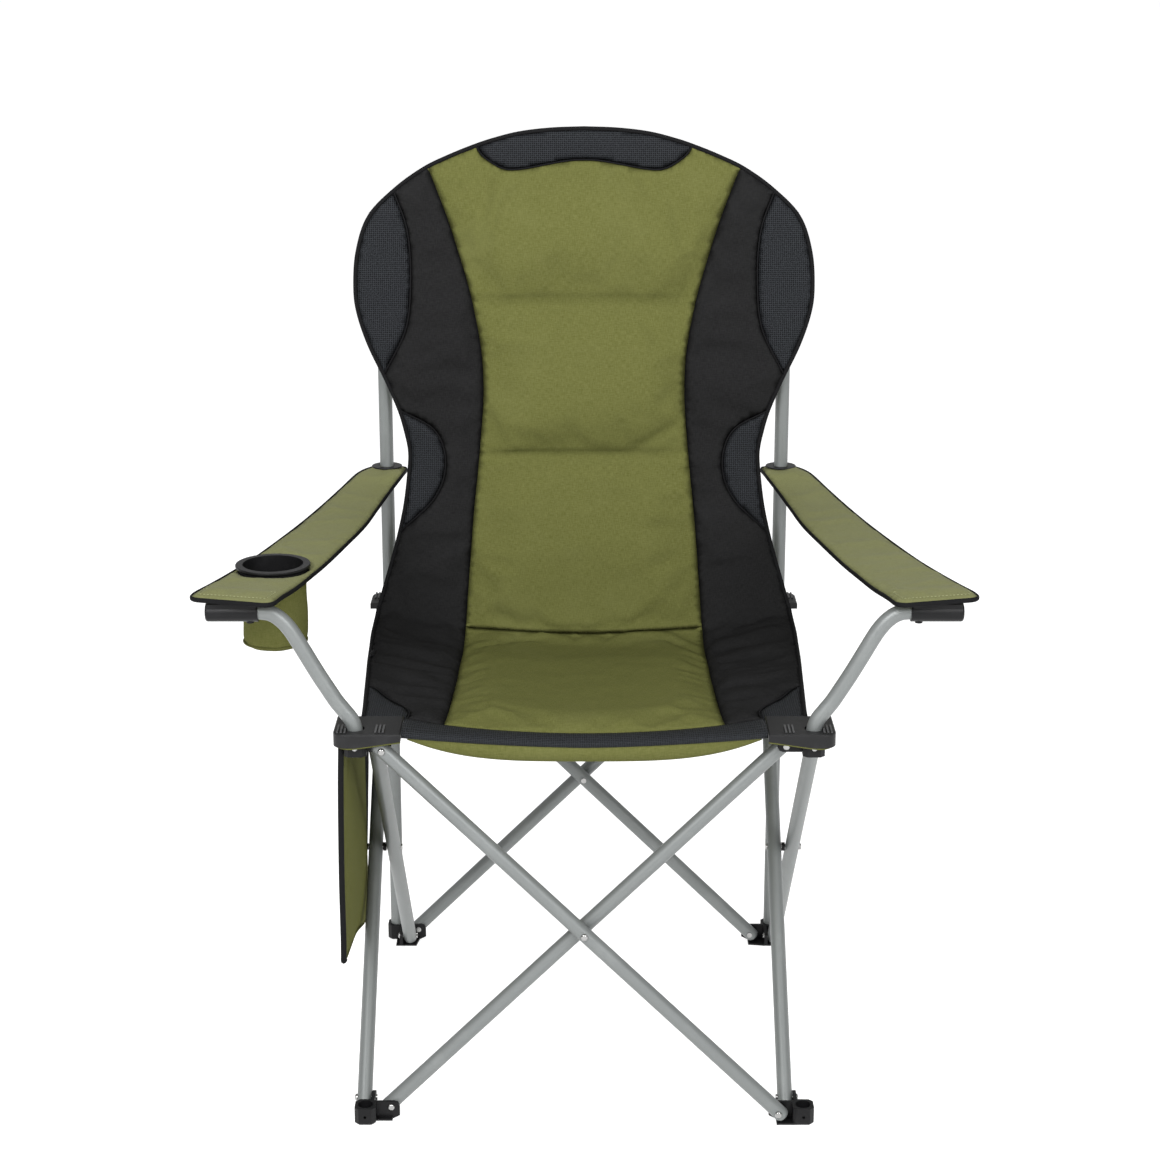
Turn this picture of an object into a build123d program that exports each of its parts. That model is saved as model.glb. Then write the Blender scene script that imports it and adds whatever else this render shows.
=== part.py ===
"""Folding camp chair: four scissor frames, corner mouldings, sliding rear joints and a padded sling."""
import os
from math import asin, atan2, copysign, degrees, hypot, tan

from build123d import *

os.makedirs("parts", exist_ok=True)

# Frame sizes in millimetres. The chair faces -Y and stands on Z = 0.
TUBE_R = 8.5
TUBE_WALL = 1.2
TUBE_END = 10.6
END_ROUND = 5.1
FOOT_GAP = 0.6
BASE_HALF = 246.8
PIVOT_REACH = 28.5
PIVOT_LOW = 14.4
PIVOT_HIGH = 448.1
SHIFT_Y = 10.0
LUG_THICK = 4.0
LUG_HEIGHT = 20.8
LUG_PAST = 9.5
SIDE_GAP = 0.3
OUTER_PLANE = 3.4
BOSS_WALL = 3.4
BOSS_CHAMFER = 4.6
SOCKET_FLOOR = 4.0
SOCKET_FIT = 0.05
SLIDE_FIT = 0.3
RIVET_R = 3.0
RIVET_FIT = 0.05
HEAD_R = 4.0
HEAD_TALL = 2.3
SPACER_R = 5.2
UPRIGHT_TOP = 957.0
ARM_TUBE_Z = 602.0
ARM_LEAN = 85.0
ARM_KNEE_Z = 476.0
POST_BEND = 26.0
SLEEVE_R = 10.5
SLEEVE_LONG = 56.0
SLEEVE_PAST = 3.0
SLEEVE_GAP = 0.2
CAP_LONG = 73.0
CAP_DEEP = 62.0
CAP_THICK = 8.0
CAP_OUT = 23.0
CAP_ROUND = 14.0
CAP_SKIRT = 7.5
SKIRT_WALL = 4.0
RIB_TALL = 1.6
RIB_WIDE = 2.0
RING_FLANGE_R = 19.0
RING_NECK_R = 13.0
RING_RISE = 34.0
RING_GROOVE = 11.0
RING_PLATE = 1.6
CUP_R = 33.5
CUP_FLANGE_R = 41.5
CUP_OUT = 98.2
CUP_BEHIND = 122.8
CUP_BELOW = 13.6
CUP_RISE = 10.0
POUCH_TALL = 72.0
POUCH_GAP = 0.4
POUCH_WALL = 1.6
POUCH_ROUND = 14.0
CLOTH_GAP = 0.4
POCKET_OUT = 15.4
STRAP_WIDE = 20.0
STRAP_THICK = 1.6
EDGE_GAP = 2.8

LUG_NEAR = TUBE_R - OUTER_PLANE + SIDE_GAP
LUG_FAR = LUG_NEAR + LUG_THICK
INNER_PLANE = LUG_FAR + SIDE_GAP + TUBE_R
BOSS_HALF = TUBE_R + BOSS_WALL
SPAN = 2 * (BASE_HALF - PIVOT_REACH)
RISE = PIVOT_HIGH - PIVOT_LOW
TUBE_LONG = hypot(SPAN, RISE)
LEAN = degrees(asin(SPAN / TUBE_LONG))
DECK_Z = PIVOT_HIGH + PIVOT_LOW
END_SWING = hypot(TUBE_END - END_ROUND, TUBE_R - END_ROUND) + END_ROUND
FOOT_PLATE = PIVOT_LOW - END_SWING - FOOT_GAP
BEND_TAKES = POST_BEND * tan(atan2(ARM_TUBE_Z - ARM_KNEE_Z, ARM_LEAN) / 2)
ARM_RUN = ARM_LEAN + BEND_TAKES + SLEEVE_GAP + SLEEVE_LONG - SLEEVE_PAST
RING_Z = ARM_TUBE_Z + RING_RISE
CUP_Z = ARM_TUBE_Z + CUP_RISE
CUP_X = -BASE_HALF - CUP_OUT
CUP_Y = -BASE_HALF + CUP_BEHIND
POCKET_X = -BASE_HALF - POCKET_OUT
EDGE_HALF = BASE_HALF + CAP_OUT - CAP_LONG - EDGE_GAP


def save(shape, name):
    solids = [Pos(0, SHIFT_Y, 0) * solid for solid in shape.solids()]
    export_step(solids[0] if len(solids) == 1 else Compound(solids), f"parts/{name}.step")


def rod(radius, start, end):
    axis = Vector(*end) - Vector(*start)
    plane = Plane(origin=start, z_dir=axis)
    return plane * Cylinder(radius, axis.length, align=(Align.CENTER, Align.CENTER, Align.MIN))


def group(*shapes):
    return Compound([solid for shape in shapes for solid in shape.solids()])


# The cloth tables are drawn for frame corners 246.8 mm from the middle.
# A place near a corner moves with the corner, and the places between spread evenly.
def spread(place):
    growth = BASE_HALF - 246.8
    if abs(place) < 150:
        return place * (150 + growth) / 150
    return place + growth * copysign(1, place)


# Corner moulding: an eight-sided boss with a tube socket, two lugs and a thin plate under the tube ends.
# Lug A runs to -X with its tube on the outer face, lug B to +Y with its tube on the inner face.
def moulding(socket_r, through):
    boss = Box(2 * BOSS_HALF, 2 * BOSS_HALF, LUG_HEIGHT, align=(Align.CENTER, Align.CENTER, Align.MIN))
    boss = chamfer(boss.edges().filter_by(Axis.Z), BOSS_CHAMFER)
    boss = chamfer(boss.edges().group_by(Axis.Z)[0], 2.4)
    reach = PIVOT_REACH + LUG_PAST
    outline = make_face(
        Polyline(
            (0, 0),
            (reach - 8, 0),
            (reach, 4),
            (reach, LUG_HEIGHT - 5),
            (reach - 2, LUG_HEIGHT - 1.5),
            (reach - 6, LUG_HEIGHT),
            (0, LUG_HEIGHT),
            close=True,
        )
    )
    lug = extrude(Plane.XZ * outline, LUG_THICK, dir=(0, -1, 0))
    lug -= Pos(PIVOT_REACH, 0, PIVOT_LOW) * Rot(90, 0, 0) * Cylinder(RIVET_R + RIVET_FIT, 4 * LUG_THICK)
    lug_a = Pos(0, LUG_NEAR, 0) * Rot(0, 0, 180) * lug
    lug_b = Pos(-LUG_NEAR, 0, 0) * Rot(0, 0, 90) * lug
    lug_b = Pos(-lug_b.bounding_box().max.X - LUG_NEAR, 0, 0) * lug_b
    far = INNER_PLANE + TUBE_R
    sole = Polyline(
        (0, -BOSS_HALF + 2.4),
        (8 - reach, -BOSS_HALF + 2.4),
        (8 - reach, LUG_FAR),
        (-far, reach - 8),
        (0, reach - 8),
        close=True,
    )
    body = boss + lug_a + lug_b + extrude(make_face(sole), FOOT_PLATE)
    floor = -1 if through else SOCKET_FLOOR
    body -= Pos(0, 0, floor) * Cylinder(socket_r, 40, align=(Align.CENTER, Align.CENTER, Align.MIN))
    body -= Pos(0, -BOSS_HALF, LUG_HEIGHT / 2) * Rot(90, 0, 0) * Cylinder(1.7, 2 * BOSS_WALL + 2)
    body -= Pos(BOSS_HALF, 0, LUG_HEIGHT / 2) * Rot(0, 90, 0) * Cylinder(1.7, 2 * BOSS_WALL + 2)
    return body


def rivet(length):
    shank = Cylinder(RIVET_R, length, align=(Align.CENTER, Align.CENTER, Align.MIN))
    dome = Pos(0, 0, length) * Cylinder(HEAD_R, HEAD_TALL, align=(Align.CENTER, Align.CENTER, Align.MIN))
    dome = fillet(dome.edges().group_by(Axis.Z)[-1], 0.85 * HEAD_TALL)
    tail = Pos(0, 0, -1.6) * Cylinder(HEAD_R - 0.6, 1.6, align=(Align.CENTER, Align.CENTER, Align.MIN))
    return shank + dome + tail


# Rivet of lug A: head on the tube outside, tail on the lug.
# Rivet of lug B: head on the lug, tail on the tube.
def corner_rivets():
    outer = Plane(origin=(-PIVOT_REACH, LUG_FAR, PIVOT_LOW), z_dir=(0, -1, 0))
    outer = outer * rivet(LUG_FAR + OUTER_PLANE + TUBE_R + SIDE_GAP)
    inside = INNER_PLANE + TUBE_R + SIDE_GAP
    inner = Plane(origin=(-inside, PIVOT_REACH, PIVOT_LOW), z_dir=(1, 0, 0)) * rivet(inside - LUG_NEAR)
    return [outer, inner]


def boss_screw(side):
    head = Cylinder(3.2, 1.8, align=(Align.CENTER, Align.CENTER, Align.MIN))
    head = fillet(head.edges().group_by(Axis.Z)[-1], 1.2)
    shank = Cylinder(1.6, BOSS_WALL, align=(Align.CENTER, Align.CENTER, Align.MIN))
    head += Pos(0, 0, 0.2 - BOSS_WALL) * shank
    return Plane(origin=(side[0] * BOSS_HALF, side[1] * BOSS_HALF, LUG_HEIGHT / 2), z_dir=(*side, 0)) * head


def at_foot(shape, turn):
    return Rot(0, 0, turn) * Pos(BASE_HALF, -BASE_HALF, 0) * shape


def at_top(shape, turn):
    flipped = shape.rotate(Axis((0, 0, 0), (1, -1, 0)), 180)
    return Rot(0, 0, turn) * Pos(BASE_HALF, -BASE_HALF, DECK_Z) * flipped


FEET = {"front_right": 0, "rear_right": 90, "rear_left": 180, "front_left": 270}
front_foot = moulding(TUBE_R + SOCKET_FIT, False)
bracket = moulding(TUBE_R + SOCKET_FIT, True)
slider = moulding(TUBE_R + SLIDE_FIT, True)
for place, turn in FEET.items():
    save(at_foot(front_foot, turn), f"foot_{place}")
    fixings = corner_rivets()
    if "rear" in place:
        fixings = fixings + [boss_screw((1, 0) if "right" in place else (0, -1))]
    save(at_foot(group(*fixings), turn), f"foot_rivets_{place}")
for place, turn in FEET.items():
    top = slider if "rear" in place else bracket
    kind = "slider" if "rear" in place else "bracket"
    side = place.split("_")[1]
    save(at_top(top, turn), f"{kind}_{side}")
    fixings = corner_rivets()
    if kind == "bracket":
        fixings = fixings + [boss_screw((1, 0) if side == "right" else (0, -1))]
    save(at_top(group(*fixings), turn), f"{kind}_rivets_{side}")


# Scissor tubes: all eight are alike, with rounded ends and three cross holes.
def leg():
    half = TUBE_LONG / 2 + TUBE_END
    tube = Cylinder(TUBE_R, 2 * half)
    tube = fillet(tube.edges().filter_by(GeomType.CIRCLE), END_ROUND)
    tube -= Cylinder(TUBE_R - TUBE_WALL, 2 * (half - 2.0))
    hole = Rot(90, 0, 0) * Cylinder(RIVET_R + RIVET_FIT, 3 * TUBE_R)
    tube -= hole
    tube -= Pos(0, 0, TUBE_LONG / 2) * hole
    tube -= Pos(0, 0, -TUBE_LONG / 2) * hole
    return tube


straight = leg()
mid_z = (PIVOT_LOW + PIVOT_HIGH) / 2
cross_rivet = rivet(OUTER_PLANE + INNER_PLANE + 2 * TUBE_R + 2 * SIDE_GAP)
spacer = Cylinder(SPACER_R, LUG_THICK) - Cylinder(RIVET_R + RIVET_FIT, 3 * LUG_THICK)
SIDES = {"front": 0, "right": 90, "back": 180, "left": 270}
for side, turn in SIDES.items():
    # The outer tube of the front frame rises to the left, and the other three frames are turned copies.
    outer = Pos(0, -BASE_HALF - OUTER_PLANE, mid_z) * Rot(0, -LEAN, 0) * straight
    inner = Pos(0, -BASE_HALF + INNER_PLANE, mid_z) * Rot(0, LEAN, 0) * straight
    start = (0, -BASE_HALF + INNER_PLANE + TUBE_R + SIDE_GAP, mid_z)
    pin = Plane(origin=start, z_dir=(0, -1, 0)) * cross_rivet
    washer = Pos(0, -BASE_HALF + LUG_NEAR + LUG_THICK / 2, mid_z) * Rot(90, 0, 0) * spacer
    save(Rot(0, 0, turn) * outer, f"leg_{side}_outer")
    save(Rot(0, 0, turn) * inner, f"leg_{side}_inner")
    save(Rot(0, 0, turn) * pin, f"cross_rivet_{side}")
    save(Rot(0, 0, turn) * washer, f"cross_spacer_{side}")


# Uprights of the back and the bent posts that carry the arms.
def upright(side):
    x = side * BASE_HALF
    tube = rod(TUBE_R, (x, BASE_HALF, SOCKET_FLOOR), (x, BASE_HALF, UPRIGHT_TOP))
    bore = rod(TUBE_R - TUBE_WALL, (x, BASE_HALF, SOCKET_FLOOR - 1), (x, BASE_HALF, UPRIGHT_TOP + 1))
    return tube - bore


def arm_post(side):
    foot_z = DECK_Z - LUG_HEIGHT + 2
    line = FilletPolyline(
        (side * BASE_HALF, -BASE_HALF, foot_z),
        (side * BASE_HALF, -BASE_HALF, ARM_KNEE_Z),
        (side * (BASE_HALF + ARM_LEAN), -BASE_HALF, ARM_TUBE_Z),
        (side * (BASE_HALF + ARM_RUN), -BASE_HALF, ARM_TUBE_Z),
        radius=POST_BEND,
    )
    ring = Circle(TUBE_R) - Circle(TUBE_R - TUBE_WALL)
    return sweep(Plane(origin=line @ 0, z_dir=line % 0) * ring, path=line)


# Plastic sleeve on the arm post: a closed tube with a flat seat for the arm cloth and a fixing screw boss.
def arm_sleeve(side):
    end = BASE_HALF + ARM_RUN + SLEEVE_PAST
    start = end - SLEEVE_LONG
    body = rod(SLEEVE_R, (start, -BASE_HALF, ARM_TUBE_Z), (end, -BASE_HALF, ARM_TUBE_Z))
    body = fillet(body.edges().group_by(Axis.X)[-1], 3)
    seat = Pos((start + end) / 2, -BASE_HALF, ARM_TUBE_Z + SLEEVE_R - 2.5)
    body += seat * Box(SLEEVE_LONG - 4, 1.7 * SLEEVE_R, 5)
    body += Pos(start + 9, -BASE_HALF, ARM_TUBE_Z - SLEEVE_R) * Cylinder(4, 3)
    bore_end = end - SLEEVE_PAST + 0.2
    body -= rod(TUBE_R + SOCKET_FIT, (start - 1, -BASE_HALF, ARM_TUBE_Z), (bore_end, -BASE_HALF, ARM_TUBE_Z))
    return body if side > 0 else mirror(body, about=Plane.YZ)


# Ribbed plastic cap of a seat corner, with a hole for the post and three ribs on each side of it.
def cap_block(low, tall):
    block = Box(CAP_LONG, CAP_DEEP, tall, align=(Align.MAX, Align.MIN, Align.MIN))
    block = Pos(CAP_OUT, 2 - CAP_OUT, low) * block
    uprights = block.edges().filter_by(Axis.Z)
    outermost = uprights.sort_by(lambda edge: edge.center().X - edge.center().Y)[-1]
    return fillet(outermost, CAP_ROUND)


# The front caps have a skirt that droops over the bracket towards the outer end.
def cap_skirt():
    skirt = cap_block(-CAP_SKIRT, CAP_SKIRT + 1)
    skirt -= Pos(-SKIRT_WALL, SKIRT_WALL, 0) * cap_block(-CAP_SKIRT - 1, CAP_SKIRT + 3)
    front = 2 - CAP_OUT
    skirt &= Pos(CAP_OUT - CAP_LONG / 2, front, 0) * Box(2 * CAP_LONG, 28, 60)
    inner = CAP_OUT - CAP_LONG - 1
    slope = make_face(Polyline((inner, 0), (0, -CAP_SKIRT - 0.2), (inner, -CAP_SKIRT - 1), close=True))
    return skirt - extrude(Plane.XZ * slope, 100, both=True)


def corner_cap(hole_r, skirted):
    plate = cap_block(0, CAP_THICK)
    plate = fillet(plate.edges().group_by(Axis.Z)[-1], 2.0)
    if skirted:
        plate += cap_skirt()
    front = 2 - CAP_OUT
    for middle in (CAP_OUT - 9, -CAP_OUT - 4):
        for step in (-4, 0, 4):
            rib = Pos(middle + step, front + 17, CAP_THICK) * Box(RIB_WIDE, 24, 2 * RIB_TALL)
            plate += rib
    plate -= Cylinder(hole_r, 60)
    return Pos(0, 0, SIDE_GAP) * plate


for side, word in ((-1, "left"), (1, "right")):
    save(upright(side), f"upright_{word}")
    save(arm_post(side), f"arm_post_{word}")
    save(arm_sleeve(side), f"arm_sleeve_{word}")
    front_cap = Pos(BASE_HALF, -BASE_HALF, DECK_Z) * corner_cap(TUBE_R + 1.8, True)
    rear_cap = Pos(BASE_HALF, -BASE_HALF, DECK_Z) * corner_cap(TUBE_R + 0.6, False)
    rear_cap = mirror(rear_cap, about=Plane.XZ)
    rear_cap = rear_cap & Pos(BASE_HALF, BASE_HALF, DECK_Z) * Box(60, 52, 60)
    if side < 0:
        front_cap = mirror(front_cap, about=Plane.YZ)
        rear_cap = mirror(rear_cap, about=Plane.YZ)
    save(front_cap, f"seat_cap_front_{word}")
    save(rear_cap, f"seat_cap_rear_{word}")

# Spool-shaped eyelet at the rear of each arm, round the upright.
for side, word in ((-1, "left"), (1, "right")):
    half = RING_GROOVE / 2
    eyelet = Cylinder(RING_NECK_R, RING_GROOVE + 2 * RING_PLATE)
    eyelet += Pos(0, 0, half + RING_PLATE / 2) * Cylinder(RING_FLANGE_R, RING_PLATE)
    eyelet += Pos(0, 0, -half - RING_PLATE / 2) * Cylinder(RING_FLANGE_R, RING_PLATE)
    eyelet -= Cylinder(TUBE_R + 0.6, 60)
    save(Pos(side * BASE_HALF, BASE_HALF, RING_Z) * eyelet, f"arm_eyelet_{word}")


# A padded strip is a ruled loft: each section has a lower arc, an upper arc and two short sides.
def padded_section(low, middle, high, up, thin, thick):
    a, b, c = Vector(*low), Vector(*middle), Vector(*high)
    up = Vector(*up)
    under = ThreePointArc(a - up * (thin / 2), b - up * (thick / 2), c - up * (thin / 2))
    over = ThreePointArc(c + up * (thin / 2), b + up * (thick / 2), a + up * (thin / 2))
    edges = [under, Line(under @ 1, over @ 0), over, Line(over @ 1, under @ 0)]
    return make_face(edges)


# Arms: outer corner, inner corner and height above the arm tube of each section, rear to front.
ARM_LINE = [
    ((-260, 266), (-233, 266), 34.0),
    ((-270, 258), (-223, 257), 34.0),
    ((-283, 226), (-226, 224), 34.0),
    ((-300, 186), (-238, 182), 24.5),
    ((-318, 130), (-249, 126), 17.0),
    ((-336, 62), (-259, 58), 13.0),
    ((-356, -12), (-274, -16), 10.5),
    ((-376, -86), (-289, -92), 9.5),
    ((-392, -140), (-301, -148), 10.0),
    ((-406, -190), (-311, -200), 12.0),
    ((-415, -232), (-321, -248), 15.8),
    ((-417, -247), (-326, -270), 16.4),
    ((-409, -258), (-337, -277), 16.6),
]


def arm_pad():
    sections = []
    for outer, inner, rise in ARM_LINE:
        z = ARM_TUBE_Z + rise
        outer = [spread(v) for v in outer]
        inner = [spread(v) for v in inner]
        middle = ((outer[0] + inner[0]) / 2, (outer[1] + inner[1]) / 2, z)
        section = padded_section((*outer, z), middle, (*inner, z), (0, 0, 1), 4.6, 8.6)
        sections.append(section)
    pad = loft(sections, ruled=True)
    pad -= Pos(-BASE_HALF, BASE_HALF, RING_Z) * Cylinder(RING_NECK_R + CLOTH_GAP, 40)
    return pad


pad = arm_pad()
save(mirror(pad, about=Plane.YZ), "arm_pad_right")
cup_axis = Pos(CUP_X, CUP_Y, CUP_Z)
pad -= cup_axis * Cylinder(CUP_R + 3 + CLOTH_GAP, 60)
save(pad, "arm_pad_left")
cup_ring = Pos(0, 0, 11 - CUP_BELOW) * Cylinder(CUP_R + 3, 22) + Pos(0, 0, 7.2) * Cylinder(CUP_FLANGE_R, 2.4)
cup_ring = fillet(cup_ring.edges().group_by(Axis.Z)[-1], 1.0)
cup_ring -= Cylinder(CUP_R, 80)
save(cup_axis * cup_ring, "cup_ring")

# Cup pouch: a cloth bag with a rounded bottom that hangs under the ring.
pouch_bottom = CUP_Z - CUP_BELOW - POUCH_GAP - POUCH_TALL
pouch = Cone(CUP_R + 2.4, CUP_R + 3, POUCH_TALL, align=(Align.CENTER, Align.CENTER, Align.MIN))
pouch_round = min(POUCH_ROUND, POUCH_TALL / 3)
pouch = fillet(pouch.edges().group_by(Axis.Z)[0], pouch_round)
low_r = CUP_R + 2.4 - POUCH_WALL
high_r = CUP_R + 3 - POUCH_WALL
hollow = Cone(low_r, high_r, POUCH_TALL, align=(Align.CENTER, Align.CENTER, Align.MIN))
hollow = fillet(hollow.edges().group_by(Axis.Z)[0], pouch_round - 0.8 * POUCH_WALL)
pouch -= Pos(0, 0, POUCH_WALL) * hollow
save(Pos(CUP_X, CUP_Y, pouch_bottom) * pouch, "cup_pouch")


# Side pocket: a flat bag outside the left frame, open at its sloping top, with a swelling outer face.
# Each row holds Y, bottom height, depth of the top below the front corner, and swelling.
POCKET_LINE = [
    (-250, 199, 0.1, 4.4),
    (-215, 188, 9.0, 11.0),
    (-150, 178, 27.0, 15.0),
    (-110, 170, 38.0, 12.5),
    (-40, 148, 58.0, 15.0),
    (5, 136, 71.0, 9.0),
    (25, 140, 77.0, 4.4),
]


def pocket_part(inset, rise):
    sections = []
    for y, bottom, drop, swell in POCKET_LINE:
        y = spread(y)
        top = DECK_Z - drop + rise
        depth = max(swell - 2 * inset, 0.8)
        face_x = POCKET_X - inset
        low = bottom + inset
        rim = (face_x - 0.7 * depth, y, top)
        hem = (face_x - 0.6 * depth, y, low)
        outside = ThreePointArc(rim, (face_x - depth, y, (low + top) / 2), hem)
        inside = Polyline(hem, (face_x, y, low), (face_x, y, top), rim)
        sections.append(make_face([outside, *inside.edges()]))
    return loft(sections, ruled=True)


# A strap at the pocket's rear corner goes up to the edge of the seat.
def pocket_strap():
    seat_x = -spread(250) - CLOTH_GAP
    low = DECK_Z - 78
    high = DECK_Z + 8
    line = Polyline(
        (seat_x, high),
        (seat_x - STRAP_THICK, high),
        (POCKET_X - STRAP_THICK, low),
        (POCKET_X, low),
        close=True,
    )
    strap = extrude(Plane.XZ * make_face(line), STRAP_WIDE / 2, both=True)
    return Pos(0, spread(25) - STRAP_WIDE / 2 - 1, 0) * strap


bag = pocket_part(0, 0)
front_wall, rear_wall = spread(POCKET_LINE[0][0]) + 5, spread(POCKET_LINE[-1][0]) - 4
room = Box(60, rear_wall - front_wall, 600)
room = pocket_part(1.2, 2) & Pos(POCKET_X, (front_wall + rear_wall) / 2, 300) * room
save(bag - room + pocket_strap(), "side_pocket")

# Sling: stations from the top of the back to the front of the seat.
# Each row: Y and Z of the centre line, outer half width, centre half width, sag, then the
# thickness of the centre and of the sides.
BACK_LINE = [
    (228, 1061, 0, 22, 0.5, 9, 0),
    (228, 1056, 0, 78, 1.5, 10, 0),
    (228, 1048, 0, 110, 2.0, 14, 0),
    (228, 1040, 0, 134, 2.5, 17, 0),
    (228, 1028, 0, 164, 3.0, 19, 0),
    (228, 1014, 193, 186, 3.0, 21, 5),
    (228, 990, 227, 178, 4.0, 23, 7),
    (228, 957, 259.5, 166, 4.0, 24, 9),
    (228, 915, 274.5, 153, 4.0, 24, 10),
    (228, 880, 278.5, 144, 4.0, 20, 10),
    (228, 860, 278.0, 138, 4.0, 10, 10),
    (228, 840, 275.5, 133, 4.0, 20, 10),
    (228, 800, 263.0, 127, 4.0, 24, 10),
    (228, 756, 243.0, 124, 4.0, 25, 10),
    (228, 718, 227.5, 125, 4.0, 24, 10),
    (228, 688, 219.5, 127, 4.0, 20, 9),
    (228, 668, 216.0, 129, 4.0, 10, 9),
    (227, 648, 216.5, 131, 4.0, 20, 9),
    (226, 603, 224.0, 136, 5.0, 24, 9),
    (222, 558, 237.0, 140, 6.0, 24, 9),
    (215, 512, 248.0, 144, 9.0, 23, 8),
    (206, 476, 250.0, 146, 14.0, 19, 7),
    (197, 452, 250.0, 147, 20.0, 14, 6),
    (188, 438, 250.0, 148, 26.0, 10, 6),
]
SEAT_LINE = [
    (188, 438, 250.0, 148, 26.0, 10, 6),
    (176, 431, 250.0, 148, 30.0, 15, 6),
    (150, 426, 250.0, 148, 36.0, 20, 6),
    (110, 426, 250.0, 148, 39.0, 22, 6),
    (60, 429, 250.0, 149, 37.0, 22, 6),
    (0, 433, 250.0, 149, 34.0, 23, 6),
    (-60, 438, 250.0, 150, 30.0, 23, 6),
    (-120, 444, 250.0, 151, 24.0, 22, 6),
    (-180, 452, 250.0, 152, 17.0, 21, 6),
    (-215, 458, 250.0, 153, 11.5, 17, 6),
    (-238, 462, 250.0, 154, 8.0, 10, 6),
]
fold_row = next(i for i, row in enumerate(SEAT_LINE) if row[0] < 100)
BACK_LINE = [(spread(y), z, spread(wide), spread(centre), *rest) for y, z, wide, centre, *rest in BACK_LINE]
SEAT_LINE = [(spread(y), z, spread(wide), spread(centre), *rest) for y, z, wide, centre, *rest in SEAT_LINE]


def normals(line):
    out = []
    for i, row in enumerate(line):
        before, after = line[max(i - 1, 0)], line[min(i + 1, len(line) - 1)]
        along = Vector(0, after[0] - before[0], after[1] - before[1]).normalized()
        out.append(Vector(0, along.Z, -along.Y))
    return out


def strip(line, ups, rows, which):
    """Loft the centre panel (which 0) or one side panel (which -1 or 1) through the given rows."""
    sections = []
    for i in rows:
        y, z, wide, centre, sag, thick, side_thick = line[i]
        up = ups[i]
        wide = wide if wide else centre

        def spot(x):
            return Vector(x, y, z) + up * (sag * (x / wide) ** 2)

        if which == 0:
            sections.append(padded_section(spot(-centre), spot(0), spot(centre), up, 6.0, thick))
            continue
        inside = which * (centre + CLOTH_GAP)
        outside = which * wide
        ends = spot(inside), spot((inside + outside) / 2), spot(outside)
        sections.append(padded_section(*ends, up, 0.6 * side_thick, side_thick))
    return loft(sections, ruled=True)


def shift(line, row, along):
    """A copy of the line whose end row is moved along the path, to leave a gap to the next piece."""
    near = line[row - 1] if row else line[row + 1]
    y, z = line[row][:2]
    step = Vector(0, near[0] - y, near[1] - z).normalized() * along
    moved = list(line)
    moved[row] = (y + step.Y, z + step.Z, *line[row][2:])
    return moved


back_ups = normals(BACK_LINE + SEAT_LINE[1:])[: len(BACK_LINE)]
seat_ups = normals(BACK_LINE + SEAT_LINE[1:])[len(BACK_LINE) - 1 :]
back_line = shift(BACK_LINE, len(BACK_LINE) - 1, CLOTH_GAP)
seat_line = shift(SEAT_LINE, 0, CLOTH_GAP)
all_back = range(len(back_line))
back_centre = strip(back_line, back_ups, all_back, 0)
back_sides = {side: strip(back_line, back_ups, list(all_back)[5:], side) for side in (-1, 1)}


# Mesh inserts of the back, drawn in the XZ plane and cut out of the panels that they are sewn into.
def window(points, bulge, grow):
    first, tip, last = points
    curve = ThreePointArc(first, tip, last)
    outer = [(first[0], first[1]), (bulge, first[1]), (bulge, last[1]), (last[0], last[1])]
    face = make_face([curve, *Polyline(*reversed(outer)).edges()])
    if grow:
        face = offset(face, grow)
    return extrude(Plane.XZ * face, 400, both=True)


def split(panel, points, bulge):
    return panel - window(points, bulge, 0), panel & window(points, bulge, -CLOTH_GAP)


inserts = []
TOP_WINDOW = [(-128, 1042), (-112, 1020), (-90, 1015), (0, 1027), (90, 1015), (112, 1020), (128, 1042)]
TOP_WINDOW = [(spread(x), z) for x, z in TOP_WINDOW]
top_edge = Polyline(*TOP_WINDOW, (TOP_WINDOW[-1][0], 1090), (TOP_WINDOW[0][0], 1090), close=True)
top_face = make_face(top_edge)
top_cut = extrude(Plane.XZ * top_face, 400, both=True)
top_fill = extrude(Plane.XZ * offset(top_face, -CLOTH_GAP), 400, both=True)
inserts.append(back_centre & top_fill)
back_centre -= top_cut
for side in (-1, 1):
    wing = [(side * spread(x), z) for x, z in ((226, 988), (211, 880), (241, 764))]
    waist = [(side * spread(x), z) for x, z in ((221, 718), (172, 649), (232, 566))]
    for points in (wing, waist):
        back_sides[side], piece = split(back_sides[side], points, side * spread(330))
        inserts.append(piece)
save(back_centre, "back_centre_pad")
save(back_sides[-1], "back_side_left")
save(back_sides[1], "back_side_right")
save(group(*inserts), "back_mesh_inserts")

# Cloth sleeves behind the back that slip over the uprights.
sleeves = []
for side in (-1, 1):
    low, high = 786, UPRIGHT_TOP + 4
    outer = rod(TUBE_R + 3.0, (side * BASE_HALF, BASE_HALF, low), (side * BASE_HALF, BASE_HALF, high))
    outer = fillet(outer.edges().group_by(Axis.Z)[-1], 3)
    inner = rod(TUBE_R + 0.8, (side * BASE_HALF, BASE_HALF, low - 1), (side * BASE_HALF, BASE_HALF, high - 2))
    sleeves.append(outer - inner)
save(group(*sleeves), "back_upright_sleeves")

# Seat: the rear and front leaves of one padded panel, parted at the line where it folds down.
front_line = shift(seat_line, fold_row, -CLOTH_GAP)
seat_rows = list(range(len(seat_line)))
corners = [Pos(s * (BASE_HALF + CAP_OUT), -BASE_HALF - CAP_OUT + 2, DECK_Z) for s in (-1, 1)]


def clear_of_caps(panel):
    for corner in corners:
        room = corner * Box(2 * (CAP_LONG + CLOTH_GAP), 2 * (CAP_DEEP + CLOTH_GAP), 80)
        panel = panel - room
    return panel


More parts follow.
